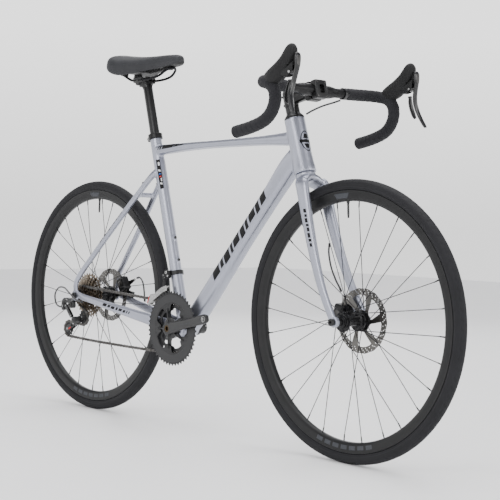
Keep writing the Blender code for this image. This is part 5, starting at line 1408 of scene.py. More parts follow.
def build_drive(pins):
    # cassette: eleven toothed cogs, spacers and a lockring
    cogs, carriers = [], []
    for k, t in enumerate(COGS):
        y = COG_Y0 - k * COG_STEP
        p = pitch_r(t)
        ph = valley_phase(pins, RX, AXLE_Z, p, t) if t == 14 else 0.13 * k
        holes = [circle(RX, AXLE_Z, 17.4 if k < 9 else 15.5, 40)]
        if t >= 18:
            m = {32: 9, 28: 8, 25: 7, 22: 7, 20: 6, 18: 6}[t]
            r0, r1 = 24.5, p - 8.2
            if r1 - r0 > 4:
                for q in range(m):
                    a0 = 2 * math.pi * q / m + 0.2 * k
                    w = 2 * math.pi / m * 0.36
                    win = [(RX + r0 * math.cos(a0 - w * .6), AXLE_Z + r0 * math.sin(a0 - w * .6)),
                           (RX + r0 * math.cos(a0 + w * .6), AXLE_Z + r0 * math.sin(a0 + w * .6)),
                           (RX + (r0 + r1) / 2 * math.cos(a0 + w), AXLE_Z + (r0 + r1) / 2 * math.sin(a0 + w)),
                           (RX + r1 * math.cos(a0 + w * .8), AXLE_Z + r1 * math.sin(a0 + w * .8)),
                           (RX + r1 * math.cos(a0 - w * .8), AXLE_Z + r1 * math.sin(a0 - w * .8)),
                           (RX + (r0 + r1) / 2 * math.cos(a0 - w), AXLE_Z + (r0 + r1) / 2 * math.sin(a0 - w))]
                    holes.append(smooth_loop(win, 3))
        cogs.append(flat(toothed(t, p + 2.1, p - 3.9, RX, AXLE_Z, ph, "cog"), 1.7, y, holes, 0.22, (RX, AXLE_Z)))
        if k < 10:
            carriers.append(revolve([(17.5, y - 0.8), (21.4, y - 0.8), (21.4, y - COG_STEP + 0.8), (17.5, y - COG_STEP + 0.8)],
                                    (RX, 0, AXLE_Z), Y, 48))
    finish_mesh("cog_set", merged(cogs), M["cog"], "cassette", 30, ["cassette"])
    finish_mesh("cog_spacers", merged(carriers), M["anod"], "cassette", 30)
    y = COG_Y0 - 10 * COG_STEP
    lock = revolve([(12.0, y - 0.6), (16.6, y - 0.6), (17.0, y - 1.0), (17.0, y - 1.9), (16.2, y - 2.4), (13.0, y - 2.4),
                    (12.0, y - 1.8)], (RX, 0, AXLE_Z), Y, 72)
    lock = carved(lock, [rod((RX + 12 * math.cos(a), y - 5, AXLE_Z + 12 * math.sin(a)),
                             (RX + 12 * math.cos(a), y + 1, AXLE_Z + 12 * math.sin(a)), 1.1, 10)
                         for a in [2 * math.pi * q / 12 for q in range(12)]])
    finish_mesh("cog_lockring", lock, M["dark_steel"], "cassette", 30)

    # chainrings
    bb = V(BB_X, 0, BB_Z)
    for name, teeth, y, tip, root, inner, node in (("ring_large", 50, RING_OUT_Y, 1.6, -3.6, 68.0, "chainring_outer"),
                                                    ("ring_small", 34, RING_IN_Y, -0.6, -4.4, 55.5, "chainring_inner")):
        p = pitch_r(teeth)
        ph = 0.0 if teeth == 50 else valley_phase(pins, BB_X, BB_Z, p, teeth)
        loop = []
        for k in range(5):
            a0 = math.radians(40 + 72 * k)
            for f, r in ((-0.145, 49.4), (-0.07, 48.4), (0.0, 48.3), (0.07, 48.4), (0.145, 49.4), (0.22, inner - 5),
                         (0.30, inner), (0.42, inner + .6), (0.5, inner + .8), (0.58, inner + .6), (0.70, inner), (0.78, inner - 5)):
                a = a0 + f * 2 * math.pi / 5
                loop.append((BB_X + r * math.cos(a), BB_Z + r * math.sin(a)))
        plate = flat(toothed(teeth, p + tip, p + root, BB_X, BB_Z, ph), 2.0, y, [smooth_loop(loop, 3)], 0.3, (BB_X, BB_Z))
        parts = [plate]
        if teeth == 50:
            # a raised band and a stepped edge, as machined
            parts.append(revolve([(72.0, y - 0.7), (72.6, y - 1.35), (92.6, y - 1.35), (93.4, y - 0.7)], bb, Y, 160))
            for k in range(10):                # shift pins on the inner face
                a = math.radians(17 + 36 * k)
                c = V(BB_X + 90 * math.cos(a), 0, BB_Z + 90 * math.sin(a))
                parts.append(rod(c + Y * (y + 0.8), c + Y * (y + 2.6), 2.1, 16, None, 0.3))
        finish_mesh(name, merged(parts), M["grey_ring"], "crank", 30, [node])
    nuts = []
    for k in range(5):
        c, s = unit(40 + 72 * k)
        q = bb + V(c, 0, s) * 54.6
        nuts.append(bolt_head(q + Y * (RING_OUT_Y - 0.9), -Y, 5.0, 1.5, 0.5))
        nuts.append(rod(q + Y * (RING_OUT_Y + 1), q + Y * (RING_IN_Y + 1.9), 4.4, 24, None, 0.3))
    finish_mesh("ring_bolts", merged(nuts), M["anod"], "crank", 30)

    ca, sa = unit(CRANK_ANGLE)
    for s, tag in ((-1, "right"), (1, "left")):
        dr = V(ca, 0, sa) * (1 if s < 0 else -1)
        y0, y1 = (59.5, 68.5) if s < 0 else (59, 67)
        arm = loft([(bb + dr * -12 + Y * s * y0, 13, 5.6), (bb + dr * -6 + Y * s * y0, 15.6, 6.4), (bb + dr * 12 + Y * s * y0, 16.4, 7.0),
                    (bb + dr * 60 + Y * s * (y0 + 2.5), 13, 6.6), (bb + dr * 120 + Y * s * (y0 + 6.0), 12.2, 6.4),
                    (bb + dr * 158 + Y * s * y1, 13.3, 6.4), (bb + dr * 170 + Y * s * y1, 12.0, 6.3),
                    (bb + dr * 177 + Y * s * y1, 8.0, 5.6)], 40, 3.0, 5)
        hole = bb + dr * CRANK_LEN
        bolt_hole = [rod(hole + Y * s * 50, hole + Y * s * 90, 7.9, 40)]
        if s < 0:
            bms = [arm, rod((BB_X, -66, BB_Z), (BB_X, -45.4, BB_Z), 17.2, 56, None, 0.8),
                   rod((BB_X, -52, BB_Z), (BB_X, -45.4, BB_Z), 30, 56, 24)]
            for ang in (40, 112, 184, 256, 328):
                c, q = unit(ang)
                r = V(c, 0, q)
                bms.append(loft([(bb + r * 8 + Y * -47.6, 12, 3.4), (bb + r * 24 + Y * -47.4, 9.6, 3.2), (bb + r * 38 + Y * -46.2, 7.6, 2.7),
                                 (bb + r * 48 + Y * -43.4, 7.4, 1.5), (bb + r * 56 + Y * -43.3, 7.2, 1.45),
                                 (bb + r * 61 + Y * -43.3, 5, 1.3)], 28, 2.6, 4, r.cross(Y)))
            cut = bolt_hole + [rod((BB_X, -90, BB_Z), (BB_X, 0, BB_Z), 9.6, 48)]
            bm = fused(bms, 0.85, 5, 0.5, cut)
            finish_mesh("arm_" + tag, bm, M["satin"], "crank", 36, ["crank_arm_right"])
            finish_mesh("spindle", rod((BB_X, -45.6, BB_Z), (BB_X, 60, BB_Z), 12.0, 48, None, 0.5), M["dark_steel"], "crank",
                        30)
            star = []
            for k in range(64):
                a = 2 * math.pi * k / 64
                star.append(9.5)
            ringb = revolve([(6.2, -62.5), (9.5, -62.5), (9.5, -64.6), (9.0, -65.4), (6.9, -65.2), (6.2, -64.4)], bb, Y, 72)
            rib = [ringb, revolve([(0, -58.5), (8.6, -58.5), (8.6, -60.0), (0, -60.0)], bb, Y, 48)]
            for k in range(8):
                a = 2 * math.pi * k / 8
                rib.append(rod((BB_X + 6.9 * math.cos(a), -59.5, BB_Z + 6.9 * math.sin(a)),
                               (BB_X + 6.9 * math.cos(a), -64.9, BB_Z + 6.9 * math.sin(a)), 1.35, 14))
            finish_mesh("crank_bolt", merged(rib), M["brass"], "crank", 34)
            # plain grey dashes where the maker's word would be
            dash = []
            for k, w in enumerate((5.5, 9.0, 4.0, 11.0, 6.5)):
                at = 62 + sum((5.5, 9.0, 4.0, 11.0, 6.5)[:k]) + 2.2 * k
                yy = -(y0 + 2.5 + (at + w / 2 - 60) / 60 * 3.5 + 6.42)
                dash.append(block(bb + dr * (at + w / 2) + Y * yy, (w, 0.5, 1.5), -math.radians(CRANK_ANGLE), 0.12, 1))
            finish_mesh("arm_marks", merged(dash), M["ink_grey"], "crank", 34)
        else:
            bm = fused([arm, rod((BB_X, 46, BB_Z), (BB_X, 66.6, BB_Z), 18.3, 56, None, 1.0)], 0.85, 5, 0.5,
                       bolt_hole + [rod((BB_X, 40, BB_Z), (BB_X, 80, BB_Z), 9.0, 40),
                                    block(bb - dr * 17 + Y * 55, (16, 30, 1.6), -math.radians(CRANK_ANGLE), 0.2, 1)], apart=True)
            finish_mesh("arm_" + tag, bm, M["satin"], "crank", 36, ["crank_arm_left"])
            finish_mesh("preload_cap", merged([bolt_head((BB_X, 60.5, BB_Z), Y, 8.9, 5.0, 0.6, 40)]), M["plastic"], "crank",
                        34)
            pinch = [bolt_head(bb - dr * 14.2 + Y * yb + V(-sa, 0, ca) * 9.5, V(-sa, 0, ca), 3.2, 3.0) for yb in (53.0, 61.5)]
            finish_mesh("pinch_bolts", merged(pinch), M["dark_steel"], "crank", 30)
        # threaded insert in the pedal hole
        ya, yb = s * (y1 - 5.9), s * (y1 + 5.9)
        prof = [(7.9, ya), (7.9, yb)]
        m = 22
        for k in range(m + 1):
            prof.append((6.9 + (0.35 if k % 2 else 0.0), yb + (ya - yb) * k / m))
        finish_mesh("pedal_insert_" + tag, revolve(prof, hole, Y, 56), M["steel"], "crank", 30)


build_drive(PINS)


# ================================================================ derailleurs
def build_derailleurs(pins):
    outline = [(-521, 323.5), (-519, 309), (-527, 304.5), (-538, 307), (-543, 316.5), (-551, 321.0),
               (-562, 320.5), (-566.5, 311), (-567, 298), (-576, 298), (-577, 318), (-571, 330),
               (-556, 334), (-540, 333), (-533, 329.5)]
    body = carved(flat(smooth_loop(outline, 4), 13.0, -79.0, (), 1.3, (-545, 315)),
                  [rod((RX, -95, AXLE_Z), (RX, -65, AXLE_Z), 18.0, 48)])
    extra = [body, flat(smooth_loop([(-549, 324), (-560, 324), (-570, 314), (-572, 306), (-574, 318), (-568, 328),
                                     (-556, 331), (-546, 330)], 4), 1.6, -86.1, (), 0.3, (-560, 320))]
    finish_mesh("rd_body", merged(extra), M["satin"], "frame", 36, ["derailleur_hanger"])
    bolts = [bolt_head((-530, -85.2, 315), -Y, 7.6, 4.3, 0.48, 36), bolt_head((-556, -86.6, 326.5), -Y, 2.6, 1.8),
             bolt_head((-571.5, -83, 322), V(-0.8, 0, 0.6), 2.4, 4.0)]
    finish_mesh("rd_bolts", merged(bolts), M["dark_steel"], "frame", 30)
    clip = [block((-548, -86.3, 329), (9, 1.6, 2.6), 0.25, 0.5, 2), block((-569, -86.2, 309), (3.0, 1.6, 8.0), 0.1, 0.5, 2)]
    finish_mesh("rd_trim", merged(clip), M["steel"], "frame", 30)
    barrel = [rod((-579.5, -79, 305.5), (-574.5, -79, 305.5), 3.4, 20, None, 0.4), rod((-575, -79, 305.5), (-570, -79, 305.5), 2.4, 20)]
    for k in range(10):
        a = 2 * math.pi * k / 10
        barrel.append(rod((-579, -79 + 3.3 * math.cos(a), 305.5 + 3.3 * math.sin(a)), (-575, -79 + 3.3 * math.cos(a), 305.5 + 3.3 * math.sin(a)), 0.45, 6))
    finish_mesh("rd_barrel", merged(barrel), M["anod"], "frame", 34)

    ld = (LINK_BOT - LINK_TOP).normalized()
    nd = V(-ld.z, 0, ld.x)

    def capsule(a, b, ra, rb, d, nn, k=14, waist=None):
        out = []
        for q in range(k + 1):
            t = math.pi / 2 + math.pi * q / k
            out.append(a + d * (ra * math.cos(t)) + nn * (ra * math.sin(t)))
        if waist:
            out.append((a + b) / 2 - nn * waist)
        for q in range(k + 1):
            t = -math.pi / 2 + math.pi * q / k
            out.append(b + d * (rb * math.cos(t)) + nn * (rb * math.sin(t)))
        if waist:
            out.append((a + b) / 2 + nn * waist)
        return [(p.x, p.z) for p in out]
    link = [flat(capsule(LINK_TOP, LINK_BOT, 5.0, 5.0, ld, nd), 2.6, -83.7, (), 0.5, (-542, 295)),
            flat(capsule(LINK_TOP, LINK_BOT, 4.5, 4.5, ld, nd), 6.2, -79.2, (), 0.4, (-542, 295))]
    mid = (LINK_TOP + LINK_BOT) / 2
    link.append(block((mid.x, -85.2, mid.z), (20, 0.8, 4.6), math.atan2(-ld.z, ld.x), 0.3, 2))
    finish_mesh("rd_link", merged(link), M["gloss"], "rd_link", 34, ["rear_derailleur_link"])
    pn = [rod((p.x, -85.6, p.z), (p.x, -76, p.z), 2.0, 20, None, 0.3) for p in (LINK_TOP, LINK_BOT)]
    finish_mesh("rd_link_pins", merged(pn), M["steel"], "rd_link", 30)
    px, pz = CAGE_PIVOT
    knuckle = revolve([(0, -62.3), (7.6, -62.3), (8.5, -63.2), (8.5, -69.6), (8.0, -70.2), (8.0, -71.6), (8.5, -72.2),
                       (8.5, -82.6), (7.4, -84.4), (0, -84.6)], (px, 0, pz), Y, 72)
    finish_mesh("rd_knuckle", merged([knuckle, bolt_head((px, -84.3, pz), -Y, 5.0, 1.1, 0.5, 32)]), M["satin"], "rd_knuckle",
                34, ["rear_derailleur_knuckle"])
    g, t = V(GUIDE[0], 0, GUIDE[1]), V(TENSION[0], 0, TENSION[1])
    d = (t - g).normalized()
    nn = V(-d.z, 0, d.x)
    run = (t - g).length

    def slot(f0, f1, w):
        return capsule(g + d * run * f0, g + d * run * f1, w, w, d, nn, 8)
    outer = flat(smooth_loop(capsule(g, t, 8.0, 9.4, d, nn, 10, 6.0), 2), 1.6, CHAIN_REAR_Y - 6.6,
                 [slot(0.26, 0.40, 2.7), slot(0.60, 0.72, 3.0)], 0.3, CAGE_PIVOT)
    inner = flat(smooth_loop(capsule(g, t, 7.0, 8.4, d, nn, 10, 5.0), 2), 1.4, CHAIN_REAR_Y + 6.4,
                 [slot(0.28, 0.70, 2.2)], 0.25, CAGE_PIVOT)
    parts = [outer, inner, rod((px, CHAIN_REAR_Y - 7.4, pz), (px, CHAIN_REAR_Y - 5.9, pz), 10.4, 48, None, 0.3)]
    finish_mesh("rd_cage_plates", merged(parts), M["satin"], "rd_cage", 34, ["rear_derailleur_cage"])
    parts = []
    for p in (g, t):
        parts.append(rod((p.x, CHAIN_REAR_Y - 7, p.z), (p.x, CHAIN_REAR_Y + 6.6, p.z), 2.3, 20))
        parts.append(bolt_head((p.x, CHAIN_REAR_Y - 7.2, p.z), -Y, 3.5, 1.3, 0.5))
    finish_mesh("rd_cage_bolts", merged(parts), M["steel"], "rd_cage", 30)
    q = g + d * run * 0.86 + nn * 3.6
    mark = block((q.x, CHAIN_REAR_Y - 7.6, q.z), (13, 0.6, 3.2), math.atan2(-d.z, d.x), 0.2, 2)
    finish_mesh("rd_cage_mark", mark, M["ink_red"], "rd_cage", 30)
    for nm, c in (("guide_pulley", g), ("tension_pulley", t)):
        p = pitch_r(11)
        ph = valley_phase(pins, c.x, c.z, p, 11)
        holes = [circle(c.x, c.z, 3.0, 24)] + [circle(c.x + 9.3 * math.cos(0.3 + k * math.pi / 2.5), c.z + 9.3 * math.sin(0.3 + k * math.pi / 2.5), 2.0, 14)
                                               for k in range(5)]
        wheel = flat(toothed(11, p - 0.6, p - 4.5, c.x, c.z, ph, "cog"), 2.2, CHAIN_REAR_Y, holes, 0.3, (c.x, c.z))
        finish_mesh(nm + "_wheel", wheel, M["plastic"], nm, 34, [nm])
        cap = revolve([(2.6, -1.9), (5.4, -1.9), (5.9, -1.3), (5.9, 1.3), (5.4, 1.9), (2.6, 1.9)], (c.x, CHAIN_REAR_Y, c.z), Y, 36)
        finish_mesh(nm + "_seal", cap, M["dark_steel"], nm, 34)

    # front derailleur
    sd = 155.5
    band = revolve([(17.3, sd - 6), (19.6, sd - 6), (20.2, sd - 5.3), (20.2, sd + 5.3), (19.6, sd + 6), (17.3, sd + 6)],
                   on_seat(0), SEAT_UP, 96)
    hb = fused([block((-151, -24.5, 424), (20, 11, 22), 0, 2.4, 3), block((-161.5, -26.5, 417), (14, 8, 16), 0, 1.8, 3)],
               0.6, 4, 0.5, [rod(on_seat(sd - 30), on_seat(sd + 30), 17.4, 64)])
    finish_mesh("fd_band", merged([band, hb]), M["anod"], "frame", 36, ["front_derailleur_body"])
    trim = [bolt_head((-150.5, -29.6, 429), -Y, 4.6, 2.6), bolt_head((-162, -30.2, 420.5), -Y, 2.4, 1.6),
            bolt_head((-157, -29.8, 413), -Y, 2.2, 1.6), block((-145, -29.7, 419.5), (5, 1.4, 6), 0.3, 0.4, 2)]
    finish_mesh("fd_screws", merged(trim), M["steel"], "frame", 30)
    up_, dn = [], []
    for k in range(15):
        c, s = unit(104 + 27 * k / 14)
        up_.append((BB_X + 120.4 * c, BB_Z + 120.4 * s))
        dn.append((BB_X + 106.4 * c, BB_Z + 106.4 * s))
    outl = up_ + [(-196.5, 366), (-203, 358.5), (-208, 349), (-211, 337), (-204, 333), (-198.5, 338), (-193.5, 342), (-184, 349.5)] \
        + list(reversed(dn))[1:]
    f = min(max((-195.0 + 172.0) / (-452.0 + 172.0), 0.0), 1.0)
    ly = RING_IN_Y + f * (CHAIN_REAR_Y - RING_IN_Y)
    plate = flat(outl, 1.4, ly - 6.0, (), 0.35, (-151, 424))
    rib = []
    for k in range(13):
        c, s = unit(106 + 23 * k / 12)
        rib.append(V(BB_X + 112.6 * c, ly - 6.9, BB_Z + 112.6 * s))
    rib += [V(-186, ly - 6.9, 358), V(-197, ly - 6.9, 348)]
    cage = [plate, tube(rib, lambda u: 0.4 + 0.9 * math.sin(math.pi * u), 10, 2.0)]
    cage.append(flat(outl, 1.4, ly + 5.6, (), 0.35, (-151, 424)))
    c0, q0 = unit(118)
    cage.append(block((BB_X + 117.5 * c0, ly - 0.2, BB_Z + 117.5 * q0), (16, 12.4, 3.2), math.radians(-28), 0.7, 2))
    cage.append(rod((-205.4, ly - 6, 338.5), (-205.4, ly + 5.6, 338.5), 2.2, 20))
    finish_mesh("fd_cage_plates", merged(cage), M["steel"], "fd_cage", 34, ["front_derailleur_cage"])
    arm = fused([block((-152.5, -34.0, 399), (11, 4.6, 30), 0.08, 1.6, 3), block((-156, -34.2, 386), (16, 5.2, 9), -0.4, 1.4, 3)], 0.6, 3, 0.5)
    finish_mesh("fd_link", merged([arm, bolt_head((-152.5, -36.2, 409), -Y, 2.8, 1.2)]), M["anod"], "fd_cage", 34)
    tail = block((-204.6, ly - 6.9, 350.5), (3.0, 0.7, 21), math.radians(24), 0.25, 2)
    finish_mesh("fd_tail_mark", tail, M["ink_red"], "fd_cage", 30)


build_derailleurs(PINS)


# ================================================================ brakes
def build_brakes():
    for tag, cx, ang, ry, y0, y1, body in (("front", FX, 168.0, 41.0, 28.5, 55.0, "steering"),
                                            ("rear", RX, 29.0, 54.0, 41.0, 67.0, "frame")):
        c, s = unit(ang)
        rad, tan = V(c, 0, s), V(-s, 0, c)
        turn = Matrix.Rotation(-math.radians(ang), 3, 'Y')
        mid = V(cx, (y0 + y1) / 2, AXLE_Z) + rad * 72
        bms = [block(mid, (33, y1 - y0 - 0.6, 43), 0, 5.5, 4, turn),
               rod(mid + tan * 2 + Y * ((y0 + y1) / -2 + y0 + 0.3), mid + tan * 2 + Y * ((y1 - y0) / 2 - 0.3), 15.5, 40, None, 1.5)]
        slot_ = block(V(cx, ry, AXLE_Z) + rad * 66, (36, 4.6, 62), 0, 0.3, 1, turn)
        if tag == "front":
            bms.append(block((470.0, 51.0, 358), (25.5, 7.6, 53.5), math.radians(-29), 1.6, 3))
            cut = [slot_, block((489.5, 56, 361), (18.9, 40, 90), math.radians(-29), 0.3, 1)]
        else:
            bms.append(block((-437, 61.5, 352), (45.5, 10.6, 17.6), math.radians(10), 2.0, 3))
            cut = [slot_]
        shell = fused(bms, 0.8, 4, 0.5, cut)
        finish_mesh(tag + "_caliper_body", shell, M["anod"], body, 36, [tag + "_brake_caliper"])
        rim = [bolt_head(mid + rad * 11 - tan * 14 + Y * ((y1 - y0) / 2 - 1.0), Y, 3.4, 2.4),
               bolt_head(mid - rad * 8 + tan * 15 + Y * ((y1 - y0) / 2 - 1.0), Y, 3.4, 2.4),
               bolt_head(mid + rad * 12 + tan * 12 - Y * ((y1 - y0) / 2 - 1.4), -Y, 3.2, 2.2),
               rod(mid + tan * 2 - Y * ((y1 - y0) / 2 - 0.4), mid + tan * 2 - Y * ((y1 - y0) / 2 + 0.9), 9.5, 36, None, 0.4)]
        finish_mesh(tag + "_caliper_bolts", merged(rim), M["dark_steel"], body, 30)
        piv = V(cx, y1 + 0.4, AXLE_Z) + rad * 74
        to = V(437.5, 0, 400) if tag == "front" else V(-421, 0, 394)
        dr = V(to.x - piv.x, 0, to.z - piv.z)
        bar = loft([(piv + Y * 2.5 + dr * 0.05, 8.0, 2.3), (piv + Y * 2.5 + dr * 0.35, 6.2, 2.1), (piv + Y * 2.5 + dr * 0.75, 4.5, 1.9),
                    (piv + Y * 2.5 + dr * 1.0, 3.5, 1.7)], 28, 3.2, 4)
        arm = fused([rod(piv, piv + Y * 4.7, 10.8, 40, None, 0.7), bar], 0.6, 3, 0.5)
        bm = merged([arm, bolt_head(piv + Y * 4.5, Y, 5.4, 1.4, 0.5, 32)])
        finish_mesh(tag + "_arm", bm, M["steel"] if tag == "front" else M["dark_steel"], tag + "_brake_arm", 34,
                    [tag + "_brake_arm"])
        e = piv + Y * 2.5 + dr * 0.97
        finish_mesh(tag + "_arm_clamp", merged([bolt_head(e + Y * 1.6, Y, 2.9, 2.2), rod(e - Y * 3.2, e + Y * 1.8, 2.2, 16)]), M["steel"],
                    tag + "_brake_arm", 30)
    runs = (("front_brake_housing", "steering", [(407.5, 35.5, 528), (404, 37.5, 505), (406, 45, 470), (414, 53, 440),
                                                 (424, 57.8, 420), (431.2, 58.0, 409)]),
            ("rear_brake_housing", "frame", [(-410.5, 70.0, 399), (-396, 69.5, 401), (-377, 66, 388), (-362, 60, 364),
                                             (-354, 56.3, 342), (-351, 55.0, 333)]),
            ("rear_derailleur_housing", "frame", [(-470, -84.5, 325), (-497, -90, 333), (-524, -93.5, 350), (-556, -90.5, 364),
                                                  (-590, -87, 362), (-613, -84, 341), (-611, -81.5, 315), (-596, -79.5, 305),
                                                  (-579, -79, 305.5)]))
    for name, body, pts in runs:
        finish_mesh(name + "_tube", tube(pts, 2.45, 18, 2.0), M["cable"], body, 50, [name])
        caps = []
        for a, b in ((0, 1), (-1, -2)):
            p, q = V(*pts[a]), V(*pts[b])
            dd = (q - p).normalized()
            caps.append(rod(p - dd * 0.5, p + dd * 8.0, 3.0, 20, None, 0.4))
            caps.append(rod(p + dd * 6.6, p + dd * 8.6, 2.75, 20, None, 0.3))
        finish_mesh(name + "_ends", merged(caps), M["anod"], body, 34)


build_brakes()


# ================================================================ small bolts
def build_bolts():
    bolts = []
    for s in (254.0, 190.0):
        bolts.append(bolt_head(on_seat(s, 18.1), V(SEAT_UP.z, 0, -SEAT_UP.x), 4.3, 2.6))
    for d in (460.5, 396.5):
        bolts.append(bolt_head(DT_DIR * d + DT_OUT * 265.9, DT_OUT, 4.3, 2.6))
    finish_mesh("bottle_bolts", merged(bolts), M["dark_steel"], "frame", 30)
    stay = (V(-369, 0, 555) - V(-290, 0, 642)).normalized()
    back = V(stay.z, 0, -stay.x)
    if back.x > 0:
        back = -back
    out = []
    for s in (-1, 1):
        p = V(-262.0, s * 25.5, 671.5) + back * 8.0
        out.append(rod(p, p + back * 2.2, 5.0, 24, None, 0.3))
        out.append(bolt_head(p + back * 2.0, back, 4.0, 2.6))
    finish_mesh("stay_bolts", merged(out), M["dark_steel"], "frame", 30)
    bm = merged([bolt_head((FX, -65.5, AXLE_Z), -Y, 8.9, 5.8, 0.42, 40), rod((FX, -65.5, AXLE_Z), (FX, 62.5, AXLE_Z), 6.0, 32)])
    finish_mesh("front_axle", bm, M["anod"], "steering", 30, ["front_thru_axle"])


build_bolts()


# ================================================================ plain marks
def tree_of(obj):
    me = obj.data
    return BVHTree.FromPolygons([v.co / MM for v in me.vertices], [tuple(p.vertices) for p in me.polygons])


def patch(tree, origin, u_ax, v_ax, quad, lift=0.16, step=2.4):
    """A thin skin over a four-cornered shape, laid on the surface below it.
    origin is outside the surface, u_ax and v_ax span the shape, and the rays
    go along v_ax x u_ax or its reverse, whichever the origin looks along."""
    n = origin[1]
    o = origin[0]
    (u0, v0), (u1, v1), (u2, v2), (u3, v3) = quad
    nu = max(1, int(max(math.hypot(u1 - u0, v1 - v0), math.hypot(u2 - u3, v2 - v3)) / step))
    nv = max(1, int(max(math.hypot(u3 - u0, v3 - v0), math.hypot(u2 - u1, v2 - v1)) / step))
    grid = []
    for j in range(nv + 1):
        row = []
        for i in range(nu + 1):
            a, b = i / nu, j / nv
            u = (u0 * (1 - a) + u1 * a) * (1 - b) + (u3 * (1 - a) + u2 * a) * b
            v = (v0 * (1 - a) + v1 * a) * (1 - b) + (v3 * (1 - a) + v2 * a) * b
            p = o + u_ax * u + v_ax * v + n * 60
            hit, nrm, idx, dist = tree.ray_cast(p, -n, 140)
            if hit is None or nrm.dot(n) < 0.15:
                return None
            row.append((hit + nrm * lift, hit - nrm * 0.25))
        grid.append(row)
    bm = bmesh.new()
    top = [[bm.verts.new(c[0]) for c in r] for r in grid]
    bot = [[bm.verts.new(c[1]) for c in r] for r in grid]
    for j in range(nv):
        for i in range(nu):
            bm.faces.new((top[j][i], top[j][i + 1], top[j + 1][i + 1], top[j + 1][i]))
            bm.faces.new((bot[j][i], bot[j + 1][i], bot[j + 1][i + 1], bot[j][i + 1]))
    for i in range(nu):
        bm.faces.new((top[0][i], bot[0][i], bot[0][i + 1], top[0][i + 1]))
        bm.faces.new((top[nv][i], top[nv][i + 1], bot[nv][i + 1], bot[nv][i]))
    for j in range(nv):
        bm.faces.new((top[j][0], top[j + 1][0], bot[j + 1][0], bot[j][0]))
        bm.faces.new((top[j][nu], bot[j][nu], bot[j + 1][nu], top[j + 1][nu]))
    return bm


def lay(name, tree, line, u_ax, n, quads, mat, body, lift=0.16):
    """Quads in (u, v) laid over a tube: u runs along the tube from line(0),
    v across it as seen from n."""
    u_ax = u_ax.normalized()
    n = (n - u_ax * n.dot(u_ax)).normalized()
    v_ax = n.cross(u_ax)
    out = [patch(tree, (line, n), u_ax, v_ax, q, lift) for q in quads]
    out = [b for b in out if b is not None]
    if out:
        finish_mesh(name, merged(out), mat, body, 35)


def slanted(widths, gaps, h, lean=0.35, u0=0.0, notch=0.0):
    """A row of plain slanted blocks, all different lengths."""
    out, u = [], u0
    for k, w in enumerate(widths):
        top = h * (1.0 - notch * (k % 3))
        bot = -h * (1.0 - notch * ((k + 1) % 3))
        out.append(((u + lean * bot, bot), (u + w + lean * bot, bot), (u + w + lean * top, top), (u + lean * top, top)))
        u += w + gaps[k % len(gaps)]
    return out


